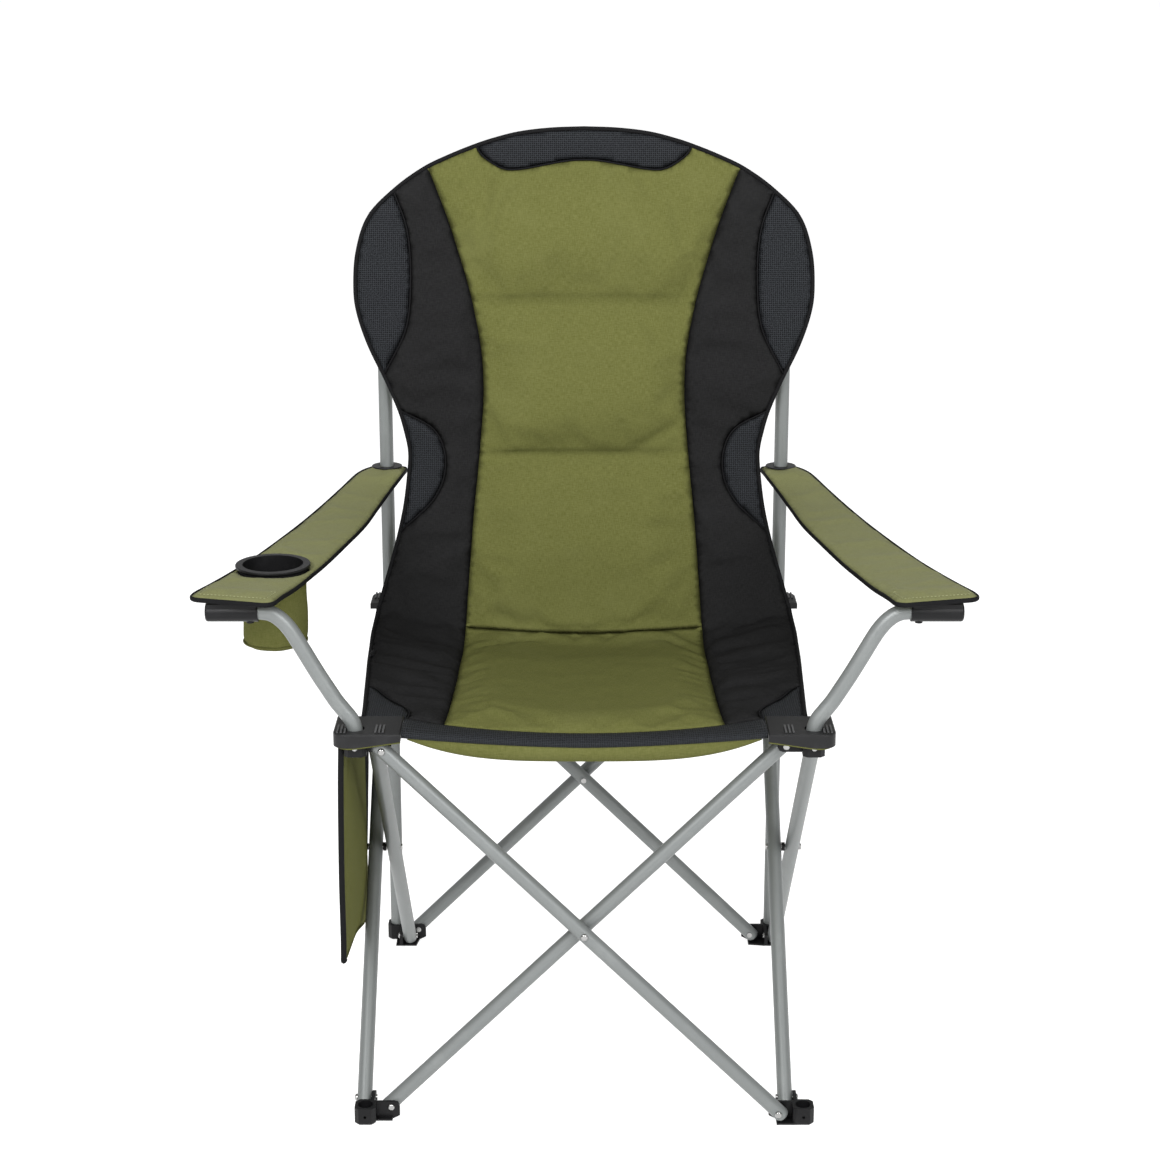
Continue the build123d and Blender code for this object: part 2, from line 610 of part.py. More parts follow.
save(strip(seat_line, seat_ups, seat_rows[: fold_row + 1], 0), "seat_rear_pad")
rear_sides = [strip(seat_line, seat_ups, seat_rows[: fold_row + 1], s) for s in (-1, 1)]
save(group(*rear_sides), "seat_rear_sides")
save(strip(front_line, seat_ups, seat_rows[fold_row:], 0), "seat_front_pad")
front_sides = [clear_of_caps(strip(front_line, seat_ups, seat_rows[fold_row:], s)) for s in (-1, 1)]
save(group(*front_sides), "seat_front_sides")


# Front edge: a black band over the edge and a green roll under it, lofted across the seat.
def edge_z(x):
    return 466 + 4.5 * (x / EDGE_HALF) ** 2


rear, front = spread(-238.6), spread(-268)
bands, rolls = [], []
for share in (-1, -0.67, -0.335, 0, 0.335, 0.67, 1):
    x = share * EDGE_HALF
    z = edge_z(x)
    over = ThreePointArc((x, rear, z), (x, rear - 14.4, z + 2), (x, front, z - 8))
    rim = Polyline((x, front, z - 8), (x, front, z - 11), (x, rear, z - 6), (x, rear, z))
    bands.append(make_face([over, *rim.edges()]))
    x = 0.92 * x
    z = edge_z(x) - CLOTH_GAP
    deep = 27 - 11 * share**2
    under = ThreePointArc((x, front + 2, z - 12.5), (x, front + 15, z - deep), (x, rear - 1.4, z - 12))
    back, ahead = rear - 1.4, front + 2
    rim = Polyline((x, back, z - 12), (x, back, z - 6.24), (x, ahead, z - 10.66), (x, ahead, z - 12.5))
    rolls.append(make_face([under, *rim.edges()]))
save(loft(bands, ruled=True), "seat_front_band")
save(loft(rolls, ruled=True), "seat_front_roll")
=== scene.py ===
"""Looks of a folding camp chair: a steel tube frame with moulded corners and a padded, sewn cover."""

import math

import bmesh
import bpy
import numpy as np
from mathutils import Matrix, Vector, geometry, noise


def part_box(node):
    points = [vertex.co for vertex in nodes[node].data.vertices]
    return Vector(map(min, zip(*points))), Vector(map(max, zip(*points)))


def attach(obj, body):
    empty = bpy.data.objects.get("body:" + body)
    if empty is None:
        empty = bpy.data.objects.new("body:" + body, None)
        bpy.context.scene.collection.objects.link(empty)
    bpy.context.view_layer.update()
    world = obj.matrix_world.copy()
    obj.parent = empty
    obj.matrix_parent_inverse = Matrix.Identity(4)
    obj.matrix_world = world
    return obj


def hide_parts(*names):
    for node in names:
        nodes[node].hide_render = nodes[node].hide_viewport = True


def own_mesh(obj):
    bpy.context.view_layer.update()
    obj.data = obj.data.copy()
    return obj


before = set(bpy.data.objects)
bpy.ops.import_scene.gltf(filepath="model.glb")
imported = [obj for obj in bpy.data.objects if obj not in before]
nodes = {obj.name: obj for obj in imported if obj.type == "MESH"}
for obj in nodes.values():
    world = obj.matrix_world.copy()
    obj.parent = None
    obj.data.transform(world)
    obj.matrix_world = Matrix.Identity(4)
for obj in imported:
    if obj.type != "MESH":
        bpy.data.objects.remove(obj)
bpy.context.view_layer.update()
scene = bpy.context.scene


# Legs and back uprights: 17 mm steel tube, cut to length and drilled for its rivets.
# Each is powder coated in silver grey, which leaves a fine orange peel,
# a few darker specks and dull patches where the folded tubes rub.
def feed(tree, node, sockets):
    """Sets a node's inputs to values, or links them to the outputs of other nodes."""
    for name, value in sockets.items():
        if isinstance(value, bpy.types.NodeSocket):
            tree.links.new(value, node.inputs[name])
        else:
            node.inputs[name].default_value = value


def wire(tree, kind, sockets=None, **settings):
    """One new node, with its settings made and its inputs fed."""
    made = tree.nodes.new("ShaderNode" + kind)
    for name, value in settings.items():
        setattr(made, name, value)
    feed(tree, made, sockets or {})
    return made


def effect(name, takes, gives):
    """A new node group with named inputs and outputs."""
    tree = bpy.data.node_groups.new(name, "ShaderNodeTree")
    for socket, value in takes.items():
        made = tree.interface.new_socket(socket, in_out="INPUT", socket_type="NodeSocketFloat")
        made.default_value = value
    for socket in gives:
        tree.interface.new_socket(socket, in_out="OUTPUT", socket_type="NodeSocketFloat")
    taken = tree.nodes.new("NodeGroupInput").outputs
    given = tree.nodes.new("NodeGroupOutput")
    return tree, taken, given


def finish(name, constants):
    """A new material: itself, its nodes and its shader, with the values that are the same all over."""
    made = bpy.data.materials.new(name)
    made.use_nodes = True
    shader = made.node_tree.nodes["Principled BSDF"]
    feed(made.node_tree, shader, constants)
    return made, made.node_tree, shader


def ramp(tree, value, low, high, start=0.0, end=1.0):
    """A value that runs from start to end while another runs from low to high."""
    limits = {"Value": value, "From Min": low, "From Max": high, "To Min": start, "To Max": end}
    return wire(tree, "MapRange", limits).outputs["Result"]


def tinted(tree, mask, low, high):
    """A colour that runs from low to high with the mask; either can be a constant or another colour."""
    low, high = ((*end, 1) if isinstance(end, tuple) else end for end in (low, high))
    mix = wire(tree, "Mix", {"Factor": mask, "A": low, "B": high}, data_type="RGBA")
    return mix.outputs["Result"]


def bumped(tree, height, strength, distance):
    """The normal of a surface that has a fine relief."""
    relief = {"Height": height, "Strength": strength, "Distance": distance}
    return wire(tree, "Bump", relief).outputs["Normal"]


rub_marks, taken, given = effect("rub_marks", {"Scale": 8.0, "Strength": 1.0}, ["Mask"])
place = wire(rub_marks, "TexCoord").outputs["Object"]
cloud = {"Vector": place, "Scale": taken["Scale"], "Detail": 7.0, "Roughness": 0.68}
patch = ramp(rub_marks, wire(rub_marks, "TexNoise", cloud).outputs["Fac"], 0.52, 0.7)
patch = wire(rub_marks, "Math", {0: patch, 1: taken["Strength"]}, operation="MULTIPLY")
feed(rub_marks, given, {"Mask": patch.outputs[0]})


def patched(tree, scale, strength):
    """A mask of the patches that use has rubbed."""
    marks = wire(tree, "Group", {"Scale": scale, "Strength": strength}, node_tree=rub_marks)
    return marks.outputs["Mask"]


fine_grain, taken, given = effect("fine_grain", {"Scale": 900.0}, ["Height", "Speck"])
place = wire(fine_grain, "TexCoord").outputs["Object"]
cloud = wire(fine_grain, "TexNoise", {"Vector": place, "Scale": taken["Scale"], "Detail": 2.0})
cells = wire(fine_grain, "TexVoronoi", {"Vector": place, "Scale": taken["Scale"]})
speck = ramp(fine_grain, cells.outputs["Distance"], 0.12, 0.3, 1.0, 0.0)
feed(fine_grain, given, {"Height": cloud.outputs["Fac"], "Speck": speck})

silver_coat, tree, shader = finish("silver_powder_coat", {"Metallic": 0.3, "Specular IOR Level": 0.4})
grain = wire(tree, "Group", {"Scale": 1400.0}, node_tree=fine_grain).outputs
rubbed = patched(tree, 14.0, 0.8)
coat = tinted(tree, grain["Speck"], (0.158, 0.168, 0.166), (0.128, 0.138, 0.136))
worn = tinted(tree, rubbed, coat, (0.185, 0.195, 0.192))
dull = ramp(tree, rubbed, 0.0, 1.0, 0.4, 0.55)
peel = bumped(tree, grain["Height"], 0.12, 0.0004)
feed(tree, shader, {"Base Color": worn, "Roughness": dull, "Normal": peel})


def dress(names, material, eased=0.0):
    """Gives solids of the frame their finish, and breaks their sharp edges by eased metres."""
    for name in names:
        mesh = nodes[name].data
        mesh.materials.clear()
        mesh.materials.append(material)
        mesh.polygons.foreach_set("use_smooth", [True] * len(mesh.polygons))
        if eased:
            weld = nodes[name].modifiers.new("joined_faces", "WELD")
            weld.merge_threshold = 0.00002
            edges = nodes[name].modifiers.new("eased_edges", "BEVEL")
            edges.width = eased
            edges.segments = 2
            edges.limit_method = "ANGLE"
            edges.angle_limit = math.radians(40)
            nodes[name].modifiers.new("flat_faces", "WEIGHTED_NORMAL")


hands = {"left": -1, "right": 1}
ends = ("front", "rear")
frames = ("front", "right", "back", "left")
legs = [f"leg_{side}_{place}" for side in frames for place in ("outer", "inner")]
dress(legs + [f"upright_{hand}" for hand in hands], silver_coat)


# Corner mouldings: glass filled nylon in black, one pattern used eight times.
# Four are the feet, two hold the seat's front corners and two slide on the uprights.
# The same nylon makes the cup ring, the sleeves of the arm tubes and the eyelets.
def nylon(name, patches, low, high, dull):
    """Moulded nylon with a fine grain: it is paler and duller where it has been rubbed."""
    made, tree, shader = finish(name, {"Specular IOR Level": 0.16})
    grain = wire(tree, "Group", {"Scale": 1100.0}, node_tree=fine_grain).outputs["Height"]
    rubbed = patched(tree, patches, 0.7)
    resin = tinted(tree, rubbed, low, high)
    rough = ramp(tree, rubbed, 0.0, 1.0, *dull)
    skin = bumped(tree, grain, 0.25, 0.0003)
    feed(tree, shader, {"Base Color": resin, "Roughness": rough, "Normal": skin})
    return made, tree, shader, resin


black_nylon, *_ = nylon("black_nylon", 26.0, (0.006, 0.006, 0.0065), (0.012, 0.012, 0.0127), (0.38, 0.56))
corners = [f"foot_{end}_{hand}" for end in ends for hand in hands]
corners += [f"{part}_{hand}" for part in ("bracket", "slider") for hand in hands]
dress(corners, black_nylon, eased=0.0006)
trims = [f"{part}_{hand}" for part in ("arm_sleeve", "arm_eyelet") for hand in hands]
dress(trims + ["cup_ring"], black_nylon, eased=0.0007)
dress([f"cross_spacer_{side}" for side in frames], black_nylon, eased=0.0003)


# Seat caps: the same moulding resin in dark grey, one cap over each corner of the seat.
# Ribs on both sides of the post's hole stiffen them, and the front ones have a drooping skirt.
# The resin is a little lighter where it has been handled, and the tops of the ribs are painted paler: a
# painted highlight, as if lit from above.
grey_nylon, tree, shader, resin = nylon(
    "grey_nylon", 30.0, (0.0115, 0.0115, 0.012), (0.019, 0.019, 0.02), (0.42, 0.6)
)
cap_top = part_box("seat_cap_front_left")[1][2]
height = wire(tree, "SeparateXYZ", {0: wire(tree, "TexCoord").outputs["Object"]}).outputs["Z"]
# Painted highlight: the tops of the ribs are painted paler than the resin below them, standing in for light
# from above.
rib_top_highlight = ramp(tree, height, cap_top - 0.0013, cap_top - 0.0004)
feed(tree, shader, {"Base Color": tinted(tree, rib_top_highlight, resin, (0.055, 0.055, 0.057))})
dress([f"seat_cap_{end}_{hand}" for end in ends for hand in hands], grey_nylon, eased=0.0007)


# Rivets and screws: zinc plated steel with rolled heads.
# They pin the tubes to the corner mouldings and to each other.
# The plating is bright, with faint cloudy marks.
zinc, tree, shader = finish("zinc_plate", {"Metallic": 1.0})
rubbed = patched(tree, 160.0, 1.0)
plate = tinted(tree, rubbed, (0.34, 0.34, 0.335), (0.24, 0.24, 0.24))
feed(tree, shader, {"Base Color": plate, "Roughness": ramp(tree, rubbed, 0.0, 1.0, 0.22, 0.42)})
pins = [f"foot_rivets_{end}_{hand}" for end in ends for hand in hands]
pins += [f"{part}_rivets_{hand}" for part in ("bracket", "slider") for hand in hands]
pins += [f"cross_rivet_{side}" for side in frames]
dress(pins, zinc)


# Backrest centre: green melange polyester over wadding, one long quilted panel.
# It is hung between the uprights, sewn across in two places and turned in at the seat.
# All cuts are drawn in millimetres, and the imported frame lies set_back further back than they do.
hem_step = 6.0
touching = 0.01
set_back = 10


def centre_of(node):
    """The middle of a solid of the frame, in millimetres."""
    low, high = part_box(node)
    return [round(500 * (a + b), 1) for a, b in zip(low, high)]


upright_x, upright_depth, _ = centre_of("upright_right")
# The hang is drawn from the seat's front edge to the top: the middle's place and height,
# the half width, and the place and height of the edge, which cuts the corner at the seat.
crease_row = 11
parts_per_span = 12
hang = [
    (-264, 464.8, 240, -264, 469.8),
    (-238, 462, 240, -238, 470),
    (-215, 458, 241, -215, 469.5),
    (-180, 452, 242.4, -180, 469),
    (-120, 444, 245.8, -120, 468),
    (-60, 438, 249, -60, 468),
    (0, 433, 252.4, 0, 467),
    (60, 429, 255, 60, 466),
    (110, 426, 257, 108, 466),
    (150, 426, 257, 142, 468),
    (176, 431, 256, 162, 473),
    (188, 438, 255, 171, 479),
    (197, 452, 252, 180, 488),
    (206, 476, 247, 192, 505),
    (215, 512, 239, 205, 532),
    (222, 558, 230, 215, 566),
    (226, 603, 221.5, 221, 606),
    (227, 648, 216.5, 223, 649),
    (228, 668, 216, 224, 668),
    (228, 718, 227.5, 224, 718),
    (228, 756, 243, 224, 756),
    (228, 800, 263, 224, 800),
    (228, 860, 278, 224, 860),
    (228, 915, 274.5, 224, 915),
    (228, 957, 259.5, 224, 957),
    (228, 1014, 200, 225, 1014),
    (228, 1064, 190, 226, 1064),
]


def run_of(line):
    """How far along a line each of its points lies."""
    return np.r_[0, np.cumsum(np.linalg.norm(np.diff(line, axis=0), axis=1))]


def drawn(points, step=None):
    """A smooth line through the points, cut into equal steps where one is given."""
    p = np.array(points, float)
    p = np.vstack([2 * p[0] - p[1], p, 2 * p[-1] - p[-2]])
    t = np.linspace(0, 1, parts_per_span, endpoint=False)[:, None]
    pieces = [
        b + 0.5 * ((c - a) * t + (2 * a - 5 * b + 4 * c - d) * t**2 + (3 * b - a - 3 * c + d) * t**3)
        for a, b, c, d in zip(p, p[1:], p[2:], p[3:])
    ]
    line = np.vstack(pieces + [p[-2:-1]])
    if step is None:
        return line
    run = run_of(line)
    spots = np.linspace(0, run[-1], max(2, round(run[-1] / step) + 1))
    return np.stack([np.interp(spots, run, column) for column in line.T], axis=1)


sling = drawn(hang)
sling_run = run_of(sling[:, :2])
slope = np.gradient(sling, sling_run, axis=0)
turn = crease_row * parts_per_span


def on_sling(flat, lift):
    """Where flat cloth (across, along) hangs, in metres, lifted off the hang towards the sitter."""
    across, along = np.asarray(flat, float).T
    y, z, wide, edge_y, edge_z = (np.interp(along, sling_run, column) for column in sling.T)
    dy, dz, _, edge_dy, edge_dz = (np.interp(along, sling_run, column) for column in slope.T)
    share = (across / wide) ** 2
    dy, dz = dy + share * (edge_dy - dy), dz + share * (edge_dz - dz)
    lift = lift / np.hypot(dy, dz)
    y, z = y + share * (edge_y - y), z + share * (edge_z - z)
    return np.stack([across, y - dz * lift + set_back, z + dy * lift], axis=1) / 1000


def at_height(points):
    """Flat places on the backrest from (across, height)."""
    across, height = np.asarray(points, float).T
    _, middle, wide, _, edge = sling[turn:].T
    spots = []
    for x, z in zip(across, height):
        along = np.interp(z, middle, sling_run[turn:])
        for _ in range(4):
            share = (x / np.interp(along, sling_run[turn:], wide)) ** 2
            along = np.interp(z, middle + share * (edge - middle), sling_run[turn:])
        spots.append((x, along))
    return np.array(spots)


def at_depth(points):
    """Flat places on the seat from (across, depth)."""
    across, depth = np.asarray(points, float).T
    return np.stack([across, np.interp(depth, sling[: turn + 1, 0], sling_run[: turn + 1])], axis=1)


def loop(*lines):
    """One closed outline from lines that follow each other, without the points that fall together."""
    line = np.vstack(lines)
    kept = np.linalg.norm(line - np.roll(line, 1, axis=0), axis=1) > 0.5
    return line[kept]


def off_line(points, starts, ends):
    """How far each point is from the nearest of the straight pieces."""
    best = np.full(len(points), 1e9)
    for a, b in zip(starts, ends):
        share = np.clip((points - a) @ (b - a) / max((b - a) @ (b - a), 1e-9), 0, 1)
        best = np.minimum(best, np.linalg.norm(points - a - share[:, None] * (b - a), axis=1))
    return best


def within(points, rim):
    """Which of the points lie inside the rim."""
    inside = np.zeros(len(points), bool)
    for a, b in zip(rim, np.roll(rim, -1, axis=0)):
        spans = (a[1] > points[:, 1]) != (b[1] > points[:, 1])
        cut = a[0] + (points[:, 1] - a[1]) * (b[0] - a[0]) / (b[1] - a[1] if b[1] != a[1] else 1e-9)
        inside ^= spans & (points[:, 0] < cut)
    return inside


def rippled(flat, across, along, layer):
    """Soft noise over flat cloth, with its own pace across and along."""
    return np.array([noise.noise((u * across, v * along, layer)) for u, v in flat])


def pieced(name, vertices, faces, material=None, flat=None, smooth=True):
    """A new mesh object; flat gives the place of each vertex on the cloth before it is sewn."""
    mesh = bpy.data.meshes.new(name)
    mesh.from_pydata([list(v) for v in vertices], [], faces)
    mesh.polygons.foreach_set("use_smooth", [smooth] * len(faces))
    if flat is not None:
        cut = mesh.attributes.new("flat_cut", "FLOAT_VECTOR", "POINT")
        cut.data.foreach_set("vector", np.array(flat).ravel())
    if material:
        mesh.materials.append(material)
    made = bpy.data.objects.new(name, mesh)
    scene.collection.objects.link(made)
    return made


pucker_height = 1.5
pucker_reach = 18
flat_hem = 16


def quilted(
    name, rim, lay, front, back, reach, seams=(), guides=(), holes=(), swell=None, ripples=None, step=7.0
):
    """Two layers of cloth sewn round the rims and along the seams, laid out by lay and parted by wadding."""
    rings = [rim, *holes]
    lines = [*seams, *guides]
    places, links = [], []
    for number, line in enumerate(rings + lines):
        first = sum(len(p) for p in places)
        links += [(first + i, first + i + 1) for i in range(len(line) - 1)]
        if number < len(rings):
            links.append((first + len(line) - 1, first))
        places.append(line)
    hems = [np.vstack(rings), np.vstack([np.roll(r, -1, axis=0) for r in rings])]
    low, high = rim.min(axis=0), rim.max(axis=0)
    columns = np.arange(low[0], high[0], step)
    rows = np.arange(low[1], high[1], step * 0.866)
    grid = np.vstack([np.c_[columns + i % 2 * step / 2, 0 * columns + r] for i, r in enumerate(rows)])
    grid = grid[within(grid, rim)]
    for starts, ends in [hems, *((line[:-1], line[1:]) for line in lines)]:
        grid = grid[off_line(grid, starts, ends) > 0.6 * step]
    places.append(grid)
    while True:
        spots = np.vstack(places)
        flat, _, faces, *_ = geometry.delaunay_2d_cdt([Vector(p) for p in spots], links, [], 1, 1e-4)
        middles = np.array([sum((flat[i] for i in f), Vector((0, 0))) / len(f) for f in faces])
        solid = ~np.any([within(middles, h) for h in holes], axis=0) if holes else np.ones(len(faces), bool)
        faces = [f for f, kept in zip(faces, solid) if kept]
        on_hem = off_line(np.array(flat), *hems) < touching
        bare = np.array([on_hem[list(f)].all() for f in faces])
        if not bare.any():
            break
        places.append(middles[solid][bare])
    flat = np.array(flat)
    to_rim = off_line(flat, *hems)
    fill = np.sin(math.pi / 2 * np.clip(to_rim / reach, 0, 1)) ** 0.85
    edge = to_rim < touching
    sewn = edge.copy()
    lift = 0 * to_rim
    for across, along, high in ripples or [(0.04, 0.04, 0.9)]:
        lift += high * rippled(flat, across, along, 0.5)
    for line in seams:
        to_seam = off_line(flat, line[:-1], line[1:])
        lift += pucker_height * np.exp(-to_seam / pucker_reach) * rippled(flat, 0.09, 0.01, 7.5)
        sewn |= to_seam < touching
    lift *= np.clip(to_rim / flat_hem, 0, 1) * ~sewn
    if swell:
        fill *= swell(flat)
    upper = lay(flat, front * fill + lift)
    lower = lay(flat, -back * fill)
    under = np.where(edge, np.arange(len(flat)), len(flat) + np.cumsum(~edge) - 1)
    both = np.vstack([flat, flat[~edge]]) / 1000
    layers = [list(f) for f in faces] + [[int(under[i]) for i in reversed(f)] for f in faces]
    cut = np.c_[both, np.zeros(len(both))]
    panel = pieced(name, np.vstack([upper, lower[~edge]]), layers, flat=cut)
    lining = panel.data.attributes.new("lining", "BOOLEAN", "FACE")
    lining.data.foreach_set("value", [False] * len(faces) + [True] * len(faces))
    held = np.r_[sewn, sewn[~edge]].nonzero()[0].tolist()
    return panel, held


def stuffed(panel, held, push, cap, slack=0.02, steps=20):
    """Lets the wadding push the layers apart while the stitching holds, and keeps the shape that results."""
    mesh = panel.data
    start = np.zeros(len(mesh.vertices) * 3, np.float32)
    mesh.vertices.foreach_get("co", start)
    group = panel.vertex_groups.new(name="sewn")
    group.add(held, 1, "REPLACE")
    cloth = panel.modifiers.new("wadding", "CLOTH")
    cloth.settings.vertex_group_mass = "sewn"
    cloth.settings.use_pressure = True
    cloth.settings.uniform_pressure_force = push
    cloth.settings.shrink_min = -slack
    cloth.settings.mass = 0.2
    cloth.settings.bending_stiffness = 0.3
    cloth.settings.effector_weights.gravity = 0
    cloth.point_cache.frame_start = 1
    cloth.point_cache.frame_end = steps
    for step in range(1, steps + 1):
        scene.frame_set(step)
    shaped = panel.evaluated_get(bpy.context.evaluated_depsgraph_get()).data
    swollen = np.zeros_like(start)
    shaped.vertices.foreach_get("co", swollen)
    outward = np.zeros_like(start)
    mesh.vertices.foreach_get("normal", outward)
    outward = outward.reshape(-1, 3)
    moved = (swollen - start).reshape(-1, 3)
    moved -= outward * np.minimum(0, np.sum(moved * outward, axis=1))[:, None]
    far = np.linalg.norm(moved, axis=1)[:, None]
    moved *= np.minimum(1, cap / np.maximum(far, 1e-9))
    panel.modifiers.remove(cloth)
    panel.vertex_groups.remove(group)
    mesh.vertices.foreach_set("co", start + moved.ravel())
    mesh.update()
    scene.frame_set(1)


def clothed(panel, face, lining):
    """The face cloth on the sitter's side and the lining behind it."""
    panel.data.materials.append(face)
    panel.data.materials.append(lining)
    behind = [False] * len(panel.data.polygons)
    panel.data.attributes["lining"].data.foreach_get("value", behind)
    panel.data.polygons.foreach_set("material_index", [int(b) for b in behind])


def hung(panel, body):
    """Cloth between the uprights goes with a body, on a mesh of its own."""
    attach(panel, body)
    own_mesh(panel)


plain_weave, taken, given = effect("plain_weave", {"Threads": 1100.0}, ["Height", "Melange"])
tree = plain_weave
cut = wire(tree, "Attribute", attribute_name="flat_cut").outputs["Vector"]
count = wire(tree, "VectorMath", {0: cut, "Scale": taken["Threads"]}, operation="SCALE").outputs[0]
turns = wire(tree, "VectorMath", {0: count, "Scale": math.pi}, operation="SCALE").outputs[0]
waves = wire(tree, "VectorMath", {0: turns}, operation="SINE").outputs[0]
warp, weft, _ = wire(tree, "SeparateXYZ", {0: waves}).outputs
over = wire(tree, "Math", {0: warp, 1: weft}, operation="MULTIPLY").outputs[0]
over = wire(tree, "Math", {0: over, 1: 0.0}, operation="GREATER_THAN").outputs[0]
warp, weft = (wire(tree, "Math", {0: t}, operation="ABSOLUTE").outputs[0] for t in (warp, weft))
thread = wire(tree, "Mix", {0: over, 2: warp, 3: weft}).outputs[0]
slub = []
for stretch in ((0.12, 0.9, 1.0), (0.9, 0.12, 1.0)):
    streaks = wire(tree, "VectorMath", {0: count, 1: stretch}, operation="MULTIPLY").outputs[0]
    streaks = {"Vector": streaks, "Scale": 1.0, "Detail": 3.0, "Roughness": 0.7}
    slub.append(wire(tree, "TexNoise", streaks).outputs["Fac"])
slub = wire(tree, "Math", {0: slub[0], 1: slub[1]}, operation="ADD").outputs[0]
feed(tree, given, {"Height": thread, "Melange": ramp(tree, slub, 0.75, 1.25)})


def oxford(name, constants, low, high, pale, patches, rubbing, relief=0.35, gaps=None):
    """Woven polyester: yarn of mixed colour, faded in patches; gaps shade the hollows between threads."""
    made, tree, shader = finish(name, constants)
    weave = wire(tree, "Group", {"Threads": 1150.0}, node_tree=plain_weave).outputs
    rubbed = patched(tree, patches, rubbing)
    yarn = tinted(tree, weave["Melange"], low, high)
    if gaps:
        shade = ramp(tree, weave["Height"], 0.0, 1.0, *gaps)
        yarn = wire(tree, "VectorMath", {0: yarn, "Scale": shade}, operation="SCALE").outputs[0]
    threads = bumped(tree, weave["Height"], relief, 0.0004)
    feed(tree, shader, {"Base Color": tinted(tree, rubbed, yarn, pale), "Normal": threads})
    return made


matt = {"Roughness": 0.95, "Specular IOR Level": 0.03}
yarns = [(0.076, 0.080, 0.0215), (0.118, 0.121, 0.041), (0.118, 0.122, 0.044)]
green_oxford = oxford("green_oxford", matt, *yarns, patches=9.0, rubbing=0.35, gaps=(0.8, 1.06))

outline = drawn(
    [(255, 479), (252, 488), (247, 505), (239, 532), (230, 565), (222, 603), (216.5, 648), (216, 668)]
    + [(219.5, 688), (227.5, 718), (243, 756), (263, 800), (275.5, 840), (278.5, 872), (274.5, 915)]
    + [(259.5, 957), (227, 990), (193, 1014), (164, 1028), (134, 1040), (110, 1048), (78, 1056)]
    + [(40, 1060.5), (0, 1062)],
    hem_step,
)
seam_line = drawn(
    [(148, 438), (146, 476), (140, 558), (136, 603), (131, 648), (125, 718), (124, 756), (127, 800)]
    + [(138, 860), (153, 915), (166, 957), (178, 990), (188, 1016.5)],
    hem_step,
)


def reached(line, spot):
    """The number of the line's point nearest to a spot."""
    return int(np.argmin(np.linalg.norm(line - np.array(spot, float), axis=1)))


shoulder = reached(outline, (188, 1016.5))
seam_line[-1] = outline[shoulder]
insert_end = reached(outline, (130, 1042))
mirror = np.array([-1, 1])
dip = [(123, 1031), (113, 1023), (101, 1016), (89, 1013.2), (70, 1014.8), (45, 1019.5), (20, 1023.8)]
dip = np.vstack([outline[insert_end], dip])
dip_middle = (0, 1025)
top_edge = drawn(np.vstack([dip, dip_middle, (dip * mirror)[::-1]]), hem_step)
top_edge = np.vstack([top_edge[top_edge[:, 0] > 2], dip_middle])
half = np.vstack([seam_line, outline[shoulder : insert_end + 1], top_edge])
crease_hem = np.linspace((-148, 438), (148, 438), 50)
rim = loop(at_height(half), at_height((half * mirror)[::-1]), at_height(crease_hem))
across = np.linspace(-1, 1, 40)[:, None]
seams = [at_height(np.c_[across * sewn, 0 * across + z]) for sewn, z in ((126, 853), (119, 663))]
crease_at = float(sling_run[turn])
sewn_at = [crease_at, *(at_height([(0, z)])[0, 1] for z in (663, 853, 1034))]
tucks = ([(-126, 878), (-102, 1000)], [(128, 886), (112, 976)], [(66, 672), (116, 700)])
tucks = [at_height(line) for line in tucks]


def bellied(flat):
    """How full each of the three cushions is: they sag, and the lowest turns slowly into the crease."""
    section = np.interp(flat[:, 1], sewn_at, [0, 1, 2, 3])
    sag = np.where(section < 1, 0.95, 0.62)
    full = 0.1 + 0.9 * np.sin(math.pi * (section % 1) ** sag) ** 0.8
    for start, end in tucks:
        full -= 0.2 * np.exp(-((off_line(flat, [start], [end]) / 10) ** 2))
    return full


bridge_reach = 34
bridge_half = 138
bridge_rise = 7


def bridged(flat, lift):
    """The centre's cloth, which bridges the corner between the seat and the backrest inside its seams."""
    across, along = np.asarray(flat, float).T
    bridge = np.exp(-(((along - crease_at) / bridge_reach) ** 2))
    return on_sling(flat, lift + bridge_rise * (bridge * np.clip(1 - (across / bridge_half) ** 4, 0, 1)))


soft = [(0.04, 0.04, 1.2), (0.012, 0.018, 3.2)]
fullness = {"front": 18.0, "back": 7.0, "reach": 60.0, "swell": bellied, "ripples": soft}
back_centre, held = quilted("back_centre_cover", rim, bridged, seams=seams, **fullness)
stuffed(back_centre, held, push=4.0, cap=0.007)
clothed(back_centre, green_oxford, green_oxford)
hung(back_centre, "rear_left")
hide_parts("back_centre_pad")


# Seat centre: the green panel runs on from the backrest to a seam across the front.
# It hangs between the four caps, deepest near the back, and is sewn to the backrest.
# The panel is cut where the seat folds, so that its rear and front leaves turn apart.
fold_depth = 60
front_middle = -245
front_sweep = 44
front_half = 194
fold_at = float(at_depth([(0, fold_depth)])[0, 1])


def seat_edge(depths):
    """The seat's edge from depths: the sling is widest near the back."""
    depths = np.asarray(depths, float)
    return np.stack([np.interp(depths, sling[:, 0], sling[:, 2]), depths], axis=1)


def front_seam(x):
    """Depth of the curved seam across the seat's front."""
    return front_middle + front_sweep * (x / front_half) ** 2


